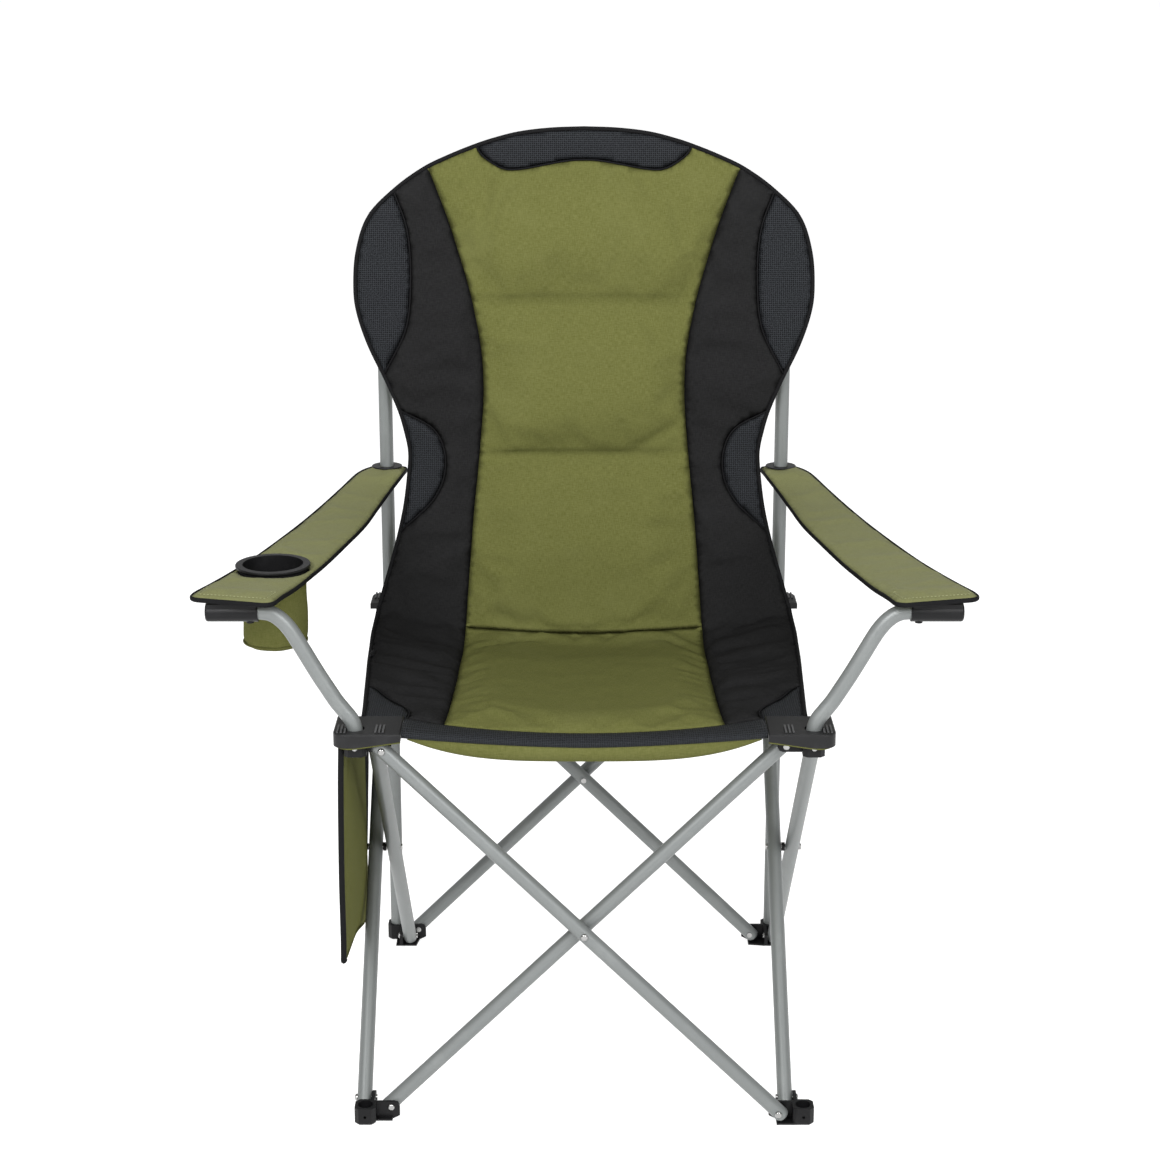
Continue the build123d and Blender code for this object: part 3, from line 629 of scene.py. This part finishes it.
def leaves(panel, names, cuts):
    """Cuts a panel across at places along it: one closed leaf for each name, from the front."""
    made = []
    limits = [-1e9, *cuts, 1e9]
    whole = panel.data.attributes.new("whole_shade", "FLOAT_VECTOR", "POINT")
    whole.data.foreach_set("vector", np.array([v.normal for v in panel.data.vertices]).ravel())
    for name, low, high in zip(names, limits, limits[1:]):
        mesh = panel.data.copy()
        leaf = bpy.data.objects.new(name, mesh)
        scene.collection.objects.link(leaf)
        work = bmesh.new()
        work.from_mesh(mesh)
        flat = work.verts.layers.float_vector["flat_cut"]
        middle = {f: sum(v[flat].y for v in f.verts) / len(f.verts) * 1000 for f in work.faces}
        bmesh.ops.delete(work, geom=[f for f, m in middle.items() if not low < m <= high], context="FACES")
        rims = [e for e in work.edges if e.is_boundary]
        for face in bmesh.ops.holes_fill(work, edges=rims, sides=0)["faces"]:
            face.smooth = False
        for edge in rims:
            edge.smooth = False
        work.to_mesh(mesh)
        work.free()
        shade = np.zeros(len(mesh.vertices) * 3, np.float32)
        mesh.attributes["whole_shade"].data.foreach_get("vector", shade)
        mesh.normals_split_custom_set_from_vertices(shade.reshape(-1, 3).tolist())
        made.append(leaf)
    bpy.data.objects.remove(panel)
    return made


def settled(flat):
    """The seat's wadding thins out towards the crease."""
    return np.interp(flat[:, 1], [crease_at - 130, crease_at], [1.0, 0.25])


seam_end = 153.5
crease_depth = 188
seat_seam = [(148, crease_depth), (148, 110), (149, 60), (149, 0), (150, -60), (151, -120), (152, -180)]
seat_seam = drawn(seat_seam + [(seam_end, front_seam(seam_end))], hem_step)
front_hem = np.linspace(seam_end, -seam_end, 52)
front_hem = np.c_[front_hem, front_seam(front_hem)]
crease_hem = np.linspace((-148, crease_depth), (148, crease_depth), 50)
rim = [seat_seam, front_hem, (seat_seam * mirror)[::-1], crease_hem]
rim = loop(*(at_depth(line) for line in rim))
fold_guide = np.c_[np.linspace(-145, 145, 48), np.full(48, fold_at)]
fullness = {"front": 12.0, "back": 8.0, "reach": 60.0, "swell": settled}
seat_centre, held = quilted("seat_centre_cover", rim, bridged, guides=[fold_guide], **fullness)
stuffed(seat_centre, held, push=4.0, cap=0.006)
clothed(seat_centre, green_oxford, green_oxford)
seat_bodies = ("seat_front", "seat_rear")
seat_leaves = leaves(seat_centre, [f"{body}_centre_cover" for body in seat_bodies], [fold_at])
for leaf, body in zip(seat_leaves, seat_bodies):
    hung(leaf, body)
    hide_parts(f"{body}_pad")


# Black sides: polyester of the same weight over thinner wadding, one strip on each side.
# Each runs from the seat's front seam up to the shoulder and is sewn to the green centre.
# It is cut away at the shoulder, waist and front corner, where open mesh is let in.
matt = {"Roughness": 0.9, "Specular IOR Level": 0.03}
yarns = [(0.009, 0.009, 0.0092), (0.0165, 0.0165, 0.0168), (0.018, 0.018, 0.0183)]
black_oxford = oxford("black_oxford", matt, *yarns, patches=11.0, rubbing=0.4)
waist = [reached(outline, (232, 566)), reached(outline, (221, 718))]
wing = [reached(outline, (241, 764)), reached(outline, (226, 988))]
waist_line = drawn([outline[waist[0]], (187, 606), (172, 649), (184, 692), outline[waist[1]]], hem_step)
wing_line = drawn([outline[wing[0]], (218, 820), (211, 880), (214, 940), outline[wing[1]]], hem_step)
corner_x = 194.5
corner_rear = -98
corner_line = [(247, corner_rear), (236, -104), (220, -131), (202, -153), (194, -171), (193, -187)]
corner_line = drawn(corner_line + [(corner_x, front_seam(corner_x))], 5.0)
side_front = np.linspace(seam_end, corner_x, 8)
side_front = np.c_[side_front, front_seam(side_front)]
side_edge = seat_edge(np.linspace(corner_rear, crease_depth, 48))
on_back = [outline[: waist[0] + 1], waist_line, outline[waist[1] : wing[0] + 1], wing_line]
on_back = np.vstack(on_back + [outline[wing[1] : shoulder + 1], seam_line[::-1]])
on_seat = [at_depth(line) for line in (side_front, corner_line[::-1], side_edge)]
strip = loop(*on_seat, at_height(on_back), at_depth(seat_seam))
creases = [(0.007, 0.036, 2.6), (0.03, 0.05, 0.7)]
fullness = {"front": 5.0, "back": 3.6, "reach": 26.0, "ripples": creases}
for name, sign in hands.items():
    guides = [np.c_[sign * np.linspace(152, 247, 15), np.full(15, along)] for along in (fold_at, crease_at)]
    rim = strip * (sign, 1)
    side_cover, held = quilted(f"side_cover_{name}", rim, on_sling, guides=guides, **fullness)
    stuffed(side_cover, held, push=3.0, cap=0.006, slack=0.035)
    clothed(side_cover, black_oxford, green_oxford)
    pieces = ("seat_front_side_cover", "seat_rear_side_cover", "back_side_cover")
    side_leaves = leaves(side_cover, [f"{piece}_{name}" for piece in pieces], [fold_at, crease_at])
    solids = ("seat_front_sides", "seat_rear_sides", f"back_side_{name}")
    for leaf, body, solid in zip(side_leaves, (*seat_bodies, "rear_left"), solids):
        hung(leaf, body)
        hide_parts(solid)


# Mesh inserts: black spacer mesh let into the top, the shoulders, the waist and the seat's corners.
# The mesh is knitted with small open cells and is about four millimetres thick.
# The pieces stay flatter than the padded panels round them.
black_mesh, tree, shader = finish("black_spacer_mesh", {"Roughness": 0.6, "Specular IOR Level": 0.08})
cut = wire(tree, "Attribute", attribute_name="flat_cut").outputs["Vector"]
cells = wire(tree, "TexVoronoi", {"Vector": cut, "Scale": 420.0, "Randomness": 0.15})
open_cell = ramp(tree, cells.outputs["Distance"], 0.25, 0.42)
knit = tinted(tree, open_cell, (0.004, 0.004, 0.0045), (0.021, 0.023, 0.026))
feed(tree, shader, {"Base Color": knit, "Normal": bumped(tree, open_cell, 0.7, 0.0012)})


crown = outline[insert_end:]
top_cut = np.vstack([crown, (crown * mirror)[::-1], top_edge * mirror, top_edge[::-1]])
cuts = [("back_mesh_top", at_height(top_cut), "rear_left", "back_centre_cover")]
cap_edge = -205.2
for name, sign in hands.items():
    wing_cut = np.vstack([wing_line, outline[wing[0] : wing[1] + 1][::-1]]) * (sign, 1)
    waist_cut = np.vstack([waist_line, outline[waist[0] : waist[1] + 1][::-1]]) * (sign, 1)
    corner_cut = [corner_line, np.linspace((corner_x + 2, cap_edge), (240, cap_edge), 10)]
    corner_cut = np.vstack(corner_cut + [seat_edge(np.linspace(cap_edge, corner_rear, 18))]) * (sign, 1)
    beside = f"back_side_cover_{name}"
    cuts.append((f"back_mesh_wing_{name}", at_height(wing_cut), "rear_left", beside))
    cuts.append((f"back_mesh_waist_{name}", at_height(waist_cut), "rear_left", beside))
    beside = f"seat_front_side_cover_{name}"
    cuts.append((f"seat_corner_mesh_{name}", at_depth(corner_cut), "seat_front", beside))
for name, piece, body, beside in cuts:
    rim = loop(piece)
    insert, _ = quilted(name, rim, on_sling, front=2.2, back=1.6, reach=14.0)
    clothed(insert, black_mesh, black_mesh)
    hung(insert, body)
    if body == "rear_left":
        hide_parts("back_mesh_inserts")
    size = np.ptp(rim, axis=0) / 1000


# Edge binding: black woven tape folded over the raw edges and stitched through.
# One length runs round the backrest, and thin welts cover the seams of the mesh.
# The tape has a fine grain and is a little shinier than the cloth.
binding_tape, tree, shader = finish("binding_tape", {"Roughness": 0.7, "Specular IOR Level": 0.06})
place = wire(tree, "TexCoord").outputs["Object"]
ribs = wire(tree, "TexNoise", {"Vector": place, "Scale": 900.0, "Detail": 2.0}).outputs["Fac"]
tape = tinted(tree, ribs, (0.004, 0.004, 0.0045), (0.009, 0.009, 0.0096))
feed(tree, shader, {"Base Color": tape, "Normal": bumped(tree, ribs, 0.4, 0.0004)})


def lattice(rows, columns, round_rows=False, round_columns=False, first=0):
    """Faces between vertices that stand in rows, open or closed after the last row and column."""
    faces = []
    for i in range(rows if round_rows else rows - 1):
        near = first + i * columns
        far = first + (i + 1) % rows * columns
        for k in range(columns if round_columns else columns - 1):
            m = (k + 1) % columns
            faces.append([near + k, near + m, far + m, far + k])
    return faces


def piped(name, lines, radius, narrow=1.0, sides=8, upright=None, material=binding_tape):
    """Tape or tube along lines in the row frame: round, or made narrow beside its upright way."""
    vertices, faces = [], []
    for line, closed in lines:
        ahead = np.roll(line, -1, axis=0) - np.roll(line, 1, axis=0)
        if not closed:
            ahead[0], ahead[-1] = line[1] - line[0], line[-1] - line[-2]
        ahead /= np.linalg.norm(ahead, axis=1)[:, None]
        out = np.cross(ahead[0], (0.31, 0.82, 0.47))
        first = len(vertices)
        for spot, way in zip(line, ahead):
            out = out - way * (out @ way) if upright is None else np.cross(way, upright)
            out /= np.linalg.norm(out)
            up = np.cross(way, out)
            for k in range(sides):
                a = 2 * math.pi * k / sides
                vertices.append(spot + radius * (narrow * math.cos(a) * out + math.sin(a) * up))
        faces += lattice(len(line), sides, closed, True, first)
        if not closed:
            faces.append([first + k for k in reversed(range(sides))])
            faces.append([first + (len(line) - 1) * sides + k for k in range(sides)])
    return pieced(name, vertices, faces, material)


tape_radius = 0.0026
around = np.vstack([outline, (outline[:-1] * mirror)[::-1]])
back_binding = piped("back_edge_binding", [(on_sling(at_height(around), 0.0), False)], tape_radius)
welts = [at_height(top_edge), at_height(top_edge * mirror)]
for sign in hands.values():
    welts += [at_height(wing_line * (sign, 1)), at_height(waist_line * (sign, 1))]
back_welts = piped("back_mesh_welts", [(on_sling(w, 1.6), False) for w in welts], 0.0011, sides=6)
tapes = [(back_binding, "rear_left"), (back_welts, "rear_left")]
for body, limits in (("seat_rear", (crease_depth, fold_depth)), ("seat_front", (fold_depth, cap_edge))):
    edge = seat_edge(np.linspace(*limits, 30))
    edges = [(on_sling(at_depth(edge * (sign, 1)), 0.0), False) for sign in hands.values()]
    tapes.append((piped(f"{body}_edge_binding", edges, tape_radius), body))
corner_welts = [(on_sling(at_depth(corner_line * (sign, 1)), 1.0), False) for sign in hands.values()]
tapes.append((piped("seat_corner_welts", corner_welts, 0.0009, sides=6), "seat_front"))
for tape, body in tapes:
    hung(tape, body)


# Upright pockets: black cloth tubes sewn to the back of the shoulders.
# The tops of the uprights stand in them and carry the backrest.
# Their flaps are stitched flat, and they are closed over the tube ends.
tunnel = drawn(
    [(-26, -20), (-18, -18.5), (-12.5, -10), (-11.4, 1), (-8.4, 8), (0, 11.6)]
    + [(8.4, 8), (11.4, 1), (12.5, -10), (18, -18.5), (26, -20)],
    3.0,
)
tunnel_half = 12
flap_width = 14
pocket_mouth = 786
shut_from = 948
pocket_top = 961.5
levels = np.r_[np.linspace(pocket_mouth, shut_from, 28), 953, 957, 960, pocket_top]
wide = len(tunnel)


def thickened(piece, thickness, offset=0):
    """Gives a single layer of cloth its thickness."""
    shell = piece.modifiers.new("cloth_thickness", "SOLIDIFY")
    shell.thickness = thickness
    shell.offset = offset


for name, sign in hands.items():
    x = upright_x * sign
    rows = []
    for z in levels:
        shut = 0.9 * np.clip((z - shut_from) / (pocket_top - shut_from), 0, 1) ** 2
        wave = 0.5 * math.sin(z * 0.09 + x) + 0.4 * math.sin(z * 0.23)
        drawn_in = tunnel[:, 1] * (1 - shut) - 12 * shut + wave * 0.5
        deep = np.where(tunnel[:, 1] > -12, drawn_in, tunnel[:, 1])
        room = np.interp(z, outline[:shoulder, 1], outline[:shoulder, 0]) - abs(x) - 4
        out = tunnel[:, 0] * sign
        beyond = (out - tunnel_half) * np.clip((room - tunnel_half) / flap_width, 0.05, 1)
        out = np.where(out > tunnel_half, tunnel_half + beyond, out) * sign
        rows.append(np.c_[x + out, upright_depth + deep, np.full(wide, z)] / 1000)
    flat = [(0.003 * k, z / 1000, 0) for z in levels for k in range(wide)]
    faces = lattice(len(levels), wide)
    pocket = pieced(f"upright_pocket_{name}", np.vstack(rows), faces, black_oxford, flat)
    thickened(pocket, 0.0012)
    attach(pocket, f"rear_{name}")
    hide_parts("back_upright_sleeves")


# Front edge: a band of black mesh turned over the seat's front, between the two caps.
# Below it the green lining is rolled under and sags in the middle.
# Both are sewn to the front of the seat and fold with it.
def rolled(name, sections, material):
    """Cloth lofted across the front edge through sections of (across, depth, height) points."""
    count = len(sections[0])
    flat = [(section[0, 0] / 1000, 0.003 * k, 0) for section in sections for k in range(count)]
    return pieced(name, np.vstack(sections) / 1000, lattice(len(sections), count), material, flat)


band_half = 196.2
band_front = -262
band_foot = 458.5
roll_half = 190
roll_foot = 437
band_sections, roll_sections = [], []
for share in np.linspace(-1, 1, 61):
    x = band_half * share
    seam = on_sling(at_depth([(x, front_seam(x))]), 0.8)[0] * 1000
    front = band_front + 7 * share**2
    under = band_foot + 8.5 * abs(share) ** 1.5
    section = [(seam[1], seam[2]), (0.5 * (seam[1] + front), 0.5 * (seam[2] + under) + 5.0)]
    section += [(front + 1.2, under + 5), (front, under + 1), (front + 3, under - 1.2)]
    section = drawn(section)[::4]
    band_sections.append(np.c_[np.full(len(section), x), section])
    low = roll_foot + 25 * abs(share) ** 3.4
    section = [(front + 2.4, under + 1.5), (front + 6, 0.45 * under + 0.55 * low)]
    section += [(-246, low), (-232, low + 1), (-222, 0.5 * (under + low) - 2)]
    section = drawn(section)[::4]
    roll_sections.append(np.c_[np.full(len(section), roll_half * share), section])
front_band = rolled("seat_front_binding", band_sections, black_mesh)
front_roll = rolled("seat_front_lining", roll_sections, green_oxford)
for cloth_piece, node, slot, flat in (
    (front_band, "seat_front_band", "black_mesh", (0.392, 0.053)),
    (front_roll, "seat_front_roll", "green_cloth", (0.38, 0.052)),
):
    thickened(cloth_piece, 0.0016)
    hung(cloth_piece, "seat_front")
    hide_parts(node)
cap_hem = [(197, -256.2, 461.8), (222, -256.2, 458.2), (247, -256.2, 454.6)]
cap_hem = drawn(cap_hem + [(258, -255, 454.4), (266, -248, 454.4)], 4.0)
for name, sign in hands.items():
    edge = cap_hem * (sign / 1000, 0.001, 0.001)
    corner_edge = piped(f"seat_corner_lining_{name}", [(edge, False)], 0.0012, sides=6, material=green_oxford)
    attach(corner_edge, f"{name}_corner")


# Arm posts: the same 17 mm tube, bent so that it leaves its cap aslant, steepens and ends level.
# Each stands in a front bracket, and its level end carries the plastic sleeve under the arm rest.
# The bends are rolled wide, and the silver coat runs over them unbroken.
_, post_depth, _ = centre_of("arm_post_left")
tube_radius = 0.0085
post_line = [(upright_x, 444), (upright_x, 458), (247, 469), (250, 480), (257.5, 490.5), (265.5, 501)]
post_line += [(273, 513), (285, 533), (297, 554.5), (307.5, 573.5), (313.5, 583), (321, 592)]
post_line = drawn(post_line + [(331, 599.3), (343, 602), (370, 602), (398, 602)], 3.0)
for name, sign in hands.items():
    line = np.c_[post_line[:, 0] * sign, np.full(len(post_line), post_depth), post_line[:, 1]] / 1000
    post = piped(f"arm_post_tube_{name}", [(line, False)], tube_radius, sides=28, material=silver_coat)
    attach(post, f"{name}_corner")
    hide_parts(f"arm_post_{name}")


# Arm rests: long green pads of the same cloth, slung from an eyelet on the upright to the arm tube.
# They widen towards the front, sag between their ends and are bound in black tape.
# A stitched box near the front holds the arm tube's sleeve.
pale_thread, tree, shader = finish("sewing_thread", {"Roughness": 0.7})
cloud = wire(tree, "TexNoise", {"Scale": 400.0}).outputs["Fac"]
feed(tree, shader, {"Base Color": tinted(tree, cloud, (0.21, 0.217, 0.1), (0.29, 0.297, 0.15))})


def stitched(name, line, rise, pitch=0.0042, radius=0.00045):
    """A row of lockstitch along a line: each stitch is a short grain lying on the cloth."""
    run = run_of(line)
    vertices, faces = [], []
    for begin in np.arange(0.0005, run[-1] - pitch, pitch):
        tips = [np.array([np.interp(s, run, c) for c in line.T]) for s in (begin, begin + pitch * 0.72)]
        way = (tips[1] - tips[0]) / np.linalg.norm(tips[1] - tips[0])
        out = np.cross(way, rise)
        first = len(vertices)
        vertices += tips
        for k in range(6):
            a = k * math.pi / 3
            girth = radius * (math.cos(a) * out + math.sin(a) * np.array(rise))
            vertices.append((tips[0] + tips[1]) / 2 + girth)
            faces.append([first, first + 2 + (k + 1) % 6, first + 2 + k])
            faces.append([first + 1, first + 2 + k, first + 2 + (k + 1) % 6])
    return pieced(name, vertices, faces, pale_thread, smooth=False)


# The arm cloth is the seat's cloth with its yarns painted paler: painted light for the arm tops, which face
# the light from above.
sheen = {"Roughness": 0.8, "Specular IOR Level": 0.15, "Sheen Weight": 0.03}
yarns = [(0.108, 0.113, 0.043), (0.146, 0.15, 0.063), (0.148, 0.152, 0.07)]
painted_lit_arm_oxford = oxford("painted_lit_arm_oxford", sheen, *yarns, patches=9.0, rubbing=0.4, relief=0.3)
# The left arm's rows are its outer edge's place, its inner edge's place and its height.
arm_rows = [
    (-260, 266, -233, 266, 636),
    (-270, 258, -223, 257, 636),
    (-283, 226, -226, 224, 636),
    (-300, 186, -238, 182, 626.5),
    (-318, 130, -249, 126, 619),
    (-336, 62, -259, 58, 615),
    (-356, -12, -274, -16, 612.5),
    (-376, -86, -289, -92, 611.5),
    (-392, -140, -301, -148, 612),
    (-406, -190, -311, -200, 614),
    (-415, -232, -321, -248, 617.8),
    (-418, -255, -327, -279, 618.6),
]
arm_path = drawn(arm_rows)
arm_middle = np.c_[(arm_path[:, :2] + arm_path[:, 2:4]) / 2, arm_path[:, 4]][::-1]
arm_half = np.linalg.norm(arm_path[:, 2:4] - arm_path[:, :2], axis=1)[::-1] / 2
arm_cross = (arm_path[:, 2:4] - arm_path[:, :2])[::-1] / (2 * arm_half[:, None])
arm_run = run_of(arm_middle)
corner_round = 12.0
corner_turn = np.linspace(0, math.pi / 2, 7)
spots = np.linspace(corner_round, arm_run[-1], round(arm_run[-1] / 6))[1:]
spots = np.r_[corner_round * (1 - np.cos(corner_turn)), spots]
cut_off = corner_round * np.r_[1 - np.sin(corner_turn), np.zeros(len(spots) - len(corner_turn))]
arm_edge = np.c_[np.interp(spots, arm_run, arm_half) - cut_off, spots]


def on_left_arm(flat, lift):
    """Where the left arm's flat cloth (across, along from the front) lies, in metres."""
    across, along = np.asarray(flat, float).T
    x, y, z = (np.interp(along, arm_run, column) for column in arm_middle.T)
    cx, cy = (np.interp(along, arm_run, column) for column in arm_cross.T)
    return np.stack([x + cx * across, y + cy * across + set_back, z + lift], axis=1) / 1000


def on_right_arm(flat, lift):
    """The right arm is the left one's mirror image."""
    return on_left_arm(np.asarray(flat, float) * (-1, 1), lift) * (-1, 1, 1)


# The hole for the cup ring is a circle on the left arm, found on its flat cloth step by step.
cup_x, cup_y, _ = centre_of("cup_pouch")
hole_radius = 37.0
around = np.linspace(0, 2 * math.pi, 40, endpoint=False)
circle = np.c_[np.cos(around), np.sin(around)]
aim = (cup_x, cup_y) + hole_radius * circle
cup_hole = np.full(circle.shape, (0.0, 140.0))
for _ in range(30):
    miss = aim - on_left_arm(cup_hole, 0.0)[:, :2] * 1000
    across = np.stack([np.interp(cup_hole[:, 1], arm_run, column) for column in arm_cross.T], axis=1)
    ahead = np.stack([-across[:, 1], across[:, 0]], axis=1)
    cup_hole += np.stack([np.sum(miss * across, axis=1), np.sum(miss * ahead, axis=1)], axis=1)
front_end = np.linspace(arm_edge[0], arm_edge[0] * mirror, 16)
rear_end = np.linspace((-13, spots[-1]), (13, spots[-1]), 6)
rim = loop(arm_edge[::-1], front_end, arm_edge * mirror, rear_end)
stitch_box = [(38, 8), (-38, 8), (-40, 34), (40, 34), (38, 8)]
stitch_box = np.vstack([np.linspace(a, b, 20) for a, b in zip(stitch_box, stitch_box[1:])])
fullness = {"front": 4.4, "back": 4.2, "reach": 20.0, "step": 6.0}
for name, lay, holes in (("left", on_left_arm, [cup_hole]), ("right", on_right_arm, [])):
    arm_cover, held = quilted(f"arm_cover_{name}", rim, lay, holes=holes, **fullness)
    stuffed(arm_cover, held, push=2.0, cap=0.003, slack=0.015)
    clothed(arm_cover, painted_lit_arm_oxford, green_oxford)
    bound = [(lay(rim, -0.6), True), *((lay(hole, 0.8), True) for hole in holes)]
    arm_binding = piped(f"arm_binding_{name}", bound, 0.0027, 0.42, upright=(0, 0, 1))
    arm_stitches = stitched(f"arm_stitches_{name}", lay(stitch_box, 4.4), (0, 0, 1))
    for piece in (arm_cover, arm_binding, arm_stitches):
        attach(piece, f"{name}_corner")
        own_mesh(piece)
    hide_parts(f"arm_pad_{name}")


# Cup pouch: a green cloth bag under the ring, sewn from a strip and a round bottom.
# It hangs from the ring, with soft folds and a hem at its foot.
# The cloth is the seat's, without wadding.
pouch_foot = round(1000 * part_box("cup_pouch")[0][2], 1)
profile = [(2, 0.8), (16, 0.6), (28, 1.2), (33.4, 4.5), (35.6, 11), (35.8, 24), (36, 44)]
profile = drawn(profile + [(36.2, 60), (36.4, 71.6)], 3.5) + (0, pouch_foot)
turns = 64
rows = []
for r, z in profile:
    eased = min(1.0, max(0.0, (pouch_foot + 70 - z) / 25)) * min(1.0, r / 30)
    for k in range(turns):
        a = 2 * math.pi * k / turns
        fold = 0.8 * math.sin(3 * a + 0.7) * math.sin((z - pouch_foot) * 0.045)
        out = r + (fold + 0.4 * math.sin(7 * a + z * 0.08)) * eased
        rows.append(((cup_x + out * math.cos(a)) / 1000, (cup_y + out * math.sin(a)) / 1000, z / 1000))
faces = lattice(len(profile), turns, round_columns=True)
faces.append(list(reversed(range(turns))))
flat = [(k * 0.0035, z / 1000, 0) for _, z in profile for k in range(turns)]
cup_pouch = pieced("cup_pouch_cloth", rows, faces, green_oxford, flat)
thickened(cup_pouch, 0.0014, -1)
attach(cup_pouch, "left_corner")
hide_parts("cup_pouch")
hem_radius = 35.2
hem_line = np.c_[(cup_x, cup_y) + hem_radius * circle, np.full(len(circle), pouch_foot + 6)] / 1000
pouch_hem = piped("cup_pouch_hem", [(hem_line, True)], 0.0012, sides=6, material=green_oxford)
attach(pouch_hem, "left_corner")


# Side pocket: a flat green bag that hangs beside the left legs from the seat's front corner.
# It bellies outwards, its open top slopes down to the back, and black tape binds its edge.
# A black cloth gusset and a strap of webbing carry its rear from the edge of the seat; the gusset's black is
# partly painted shade, which fills the dark gap behind the pocket.
pocket_side = -264.4
pocket_front = 250
pocket_rear = -25
pocket_foot = [(pocket_front, 199), (215, 188), (150, 178), (110, 170), (40, 148), (-5, 136), (-18, 136.5)]
pocket_foot = drawn(pocket_foot + [(pocket_rear, 144)], hem_step)
top_hem = np.linspace((pocket_rear, 385.5), (pocket_front, 462.4), 46)
front_edge = np.linspace((pocket_front, 462.4), (pocket_front, 199), 44)
rear_edge = np.linspace((pocket_rear, 144), (pocket_rear, 385.5), 40)
hem_wave = drawn([(130, 6.5), (160, 4.5), (210, 1.5), (300, 1.2), (400, -0.5), (470, -3)])


def beside_legs(flat, lift):
    """Where the pocket's flat cloth (towards the front, height) hangs, in metres: its front edge waves."""
    ahead, up = np.asarray(flat, float).T
    wave = np.interp(up, *hem_wave.T) * np.clip((ahead - 40) / 210, 0, 1)
    return np.stack([pocket_side - wave - lift, set_back - ahead, up], axis=1) / 1000


rim = loop(top_hem, front_edge, pocket_foot, rear_edge)
side_pocket, held = quilted("side_pocket_cloth", rim, beside_legs, front=2.4, back=4.0, reach=90.0)
stuffed(side_pocket, held, push=0.6, cap=0.0015)
clothed(side_pocket, green_oxford, green_oxford)
bound = beside_legs(np.vstack([top_hem, front_edge, pocket_foot[:3]]), 0.0)
pocket_binding = piped("side_pocket_binding", [(bound, False)], 0.0033)
bound = beside_legs(pocket_foot, 0.0)
pocket_seam = piped("side_pocket_seam", [(bound, False)], 0.0013, sides=6, material=green_oxford)
strap_line = [(-265, 384), (-261, 410), (-256, 442), (-253, 466), (-250.5, 471.5), (-246.5, 471.5)]
strap_line = drawn(strap_line, 4.0)


def below_seat(flat, lift):
    """Where the gusset's flat cloth (towards the front, height) hangs: its top leans in to the seat."""
    ahead, up = np.asarray(flat, float).T
    return np.stack([np.interp(up, *strap_line[:, ::-1].T) - lift, set_back - ahead, up], axis=1) / 1000


gusset_foot = (-23, 160)
gusset_corners = [(-136, 466), (-8, 466), (-23, 384)]
gusset_rear = drawn([gusset_foot, (-52, 215), (-90, 300), (-122, 385), gusset_corners[0]], hem_step)
gusset_hem = np.linspace(gusset_corners[0], gusset_corners[1], 22)
gusset_front = np.linspace(gusset_corners[1], gusset_corners[2], 15)
gusset_seam = np.linspace(gusset_corners[2], gusset_foot, 38)
gusset_rim = loop(gusset_rear, gusset_hem, gusset_front, gusset_seam)
gusset = {"front": 0.9, "back": 0.9, "reach": 12.0}
# Partly painted shade: the black gusset fills the dark gap between the pocket and the legs, where they lie in
# shadow.
pocket_gusset_and_shade, _ = quilted("side_pocket_gusset_and_shade", gusset_rim, below_seat, **gusset)
clothed(pocket_gusset_and_shade, black_oxford, black_oxford)
size = tuple(np.ptp(gusset_rim, axis=0) / 1000)
strap_depths = (14, 19, 24, 29, 34)
strap_rows = [(x / 1000, y / 1000, z / 1000) for x, z in strap_line for y in strap_depths]
strap_faces = lattice(len(strap_line), len(strap_depths))
pocket_strap = pieced("side_pocket_strap", strap_rows, strap_faces, binding_tape)
thickened(pocket_strap, 0.0016)
for piece in (side_pocket, pocket_binding, pocket_seam, pocket_gusset_and_shade, pocket_strap):
    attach(piece, "left_slider")
    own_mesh(piece)
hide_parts("side_pocket")


# Studio: a plain white floor that gives off light of its own, so that shadows on it stay faint.
# The sky is dim, and large soft lights stand above in front and behind, as in a photo studio.
# The camera looks down a little; its lens and place come from the chair's feet, rivets and uprights.
glowing = {"Emission Color": (1, 1, 1, 1), "Emission Strength": 0.82}
floor_paint, *_ = finish("pale_floor", {"Base Color": (0.5, 0.5, 0.5, 1), "Roughness": 0.9, **glowing})
reach = 60
floor_spots = [(-reach, -reach), (reach, -reach), (reach, reach), (-reach, reach)]
floor = pieced("floor", [(x, y, -0.0005) for x, y in floor_spots], [[0, 1, 2, 3]], floor_paint)
sky = bpy.data.worlds.new("studio")
sky.use_nodes = True
tree = sky.node_tree
way = wire(tree, "SeparateXYZ", {0: wire(tree, "TexCoord").outputs["Generated"]})
glow = ramp(tree, way.outputs["Z"], 0.08, 0.25, 1.0, 0.34)
feed(tree, tree.nodes["Background"], {"Strength": glow, "Color": (1, 1, 1, 1)})
scene.world = sky
for name, spot, size, watts in (
    ("key", (-1.3, -2.9, 2.6), 2.0, 142),
    ("fill", (1.6, -2.9, 2.4), 2.0, 104),
    ("top", (0, 1.3, 2.9), 1.6, 30),
):
    lamp = bpy.data.lights.new(name, "AREA")
    lamp.size = size
    lamp.energy = watts
    lamp.specular_factor = 0.5
    holder = bpy.data.objects.new(name, lamp)
    holder.location = spot
    holder.rotation_euler = (Vector((0, 0, 0.6)) - Vector(spot)).to_track_quat("-Z", "Y").to_euler()
    scene.collection.objects.link(holder)
eye = bpy.data.cameras.new("photo_view")
eye.lens = 74.16
eye.sensor_width = 36
camera = bpy.data.objects.new("photo_view", eye)
camera.location = (-0.00482, -2.66, 1.3433)
camera.rotation_euler = (math.radians(73.75), 0, 0)
scene.collection.objects.link(camera)
scene.camera = camera
scene.view_settings.view_transform = "Standard"
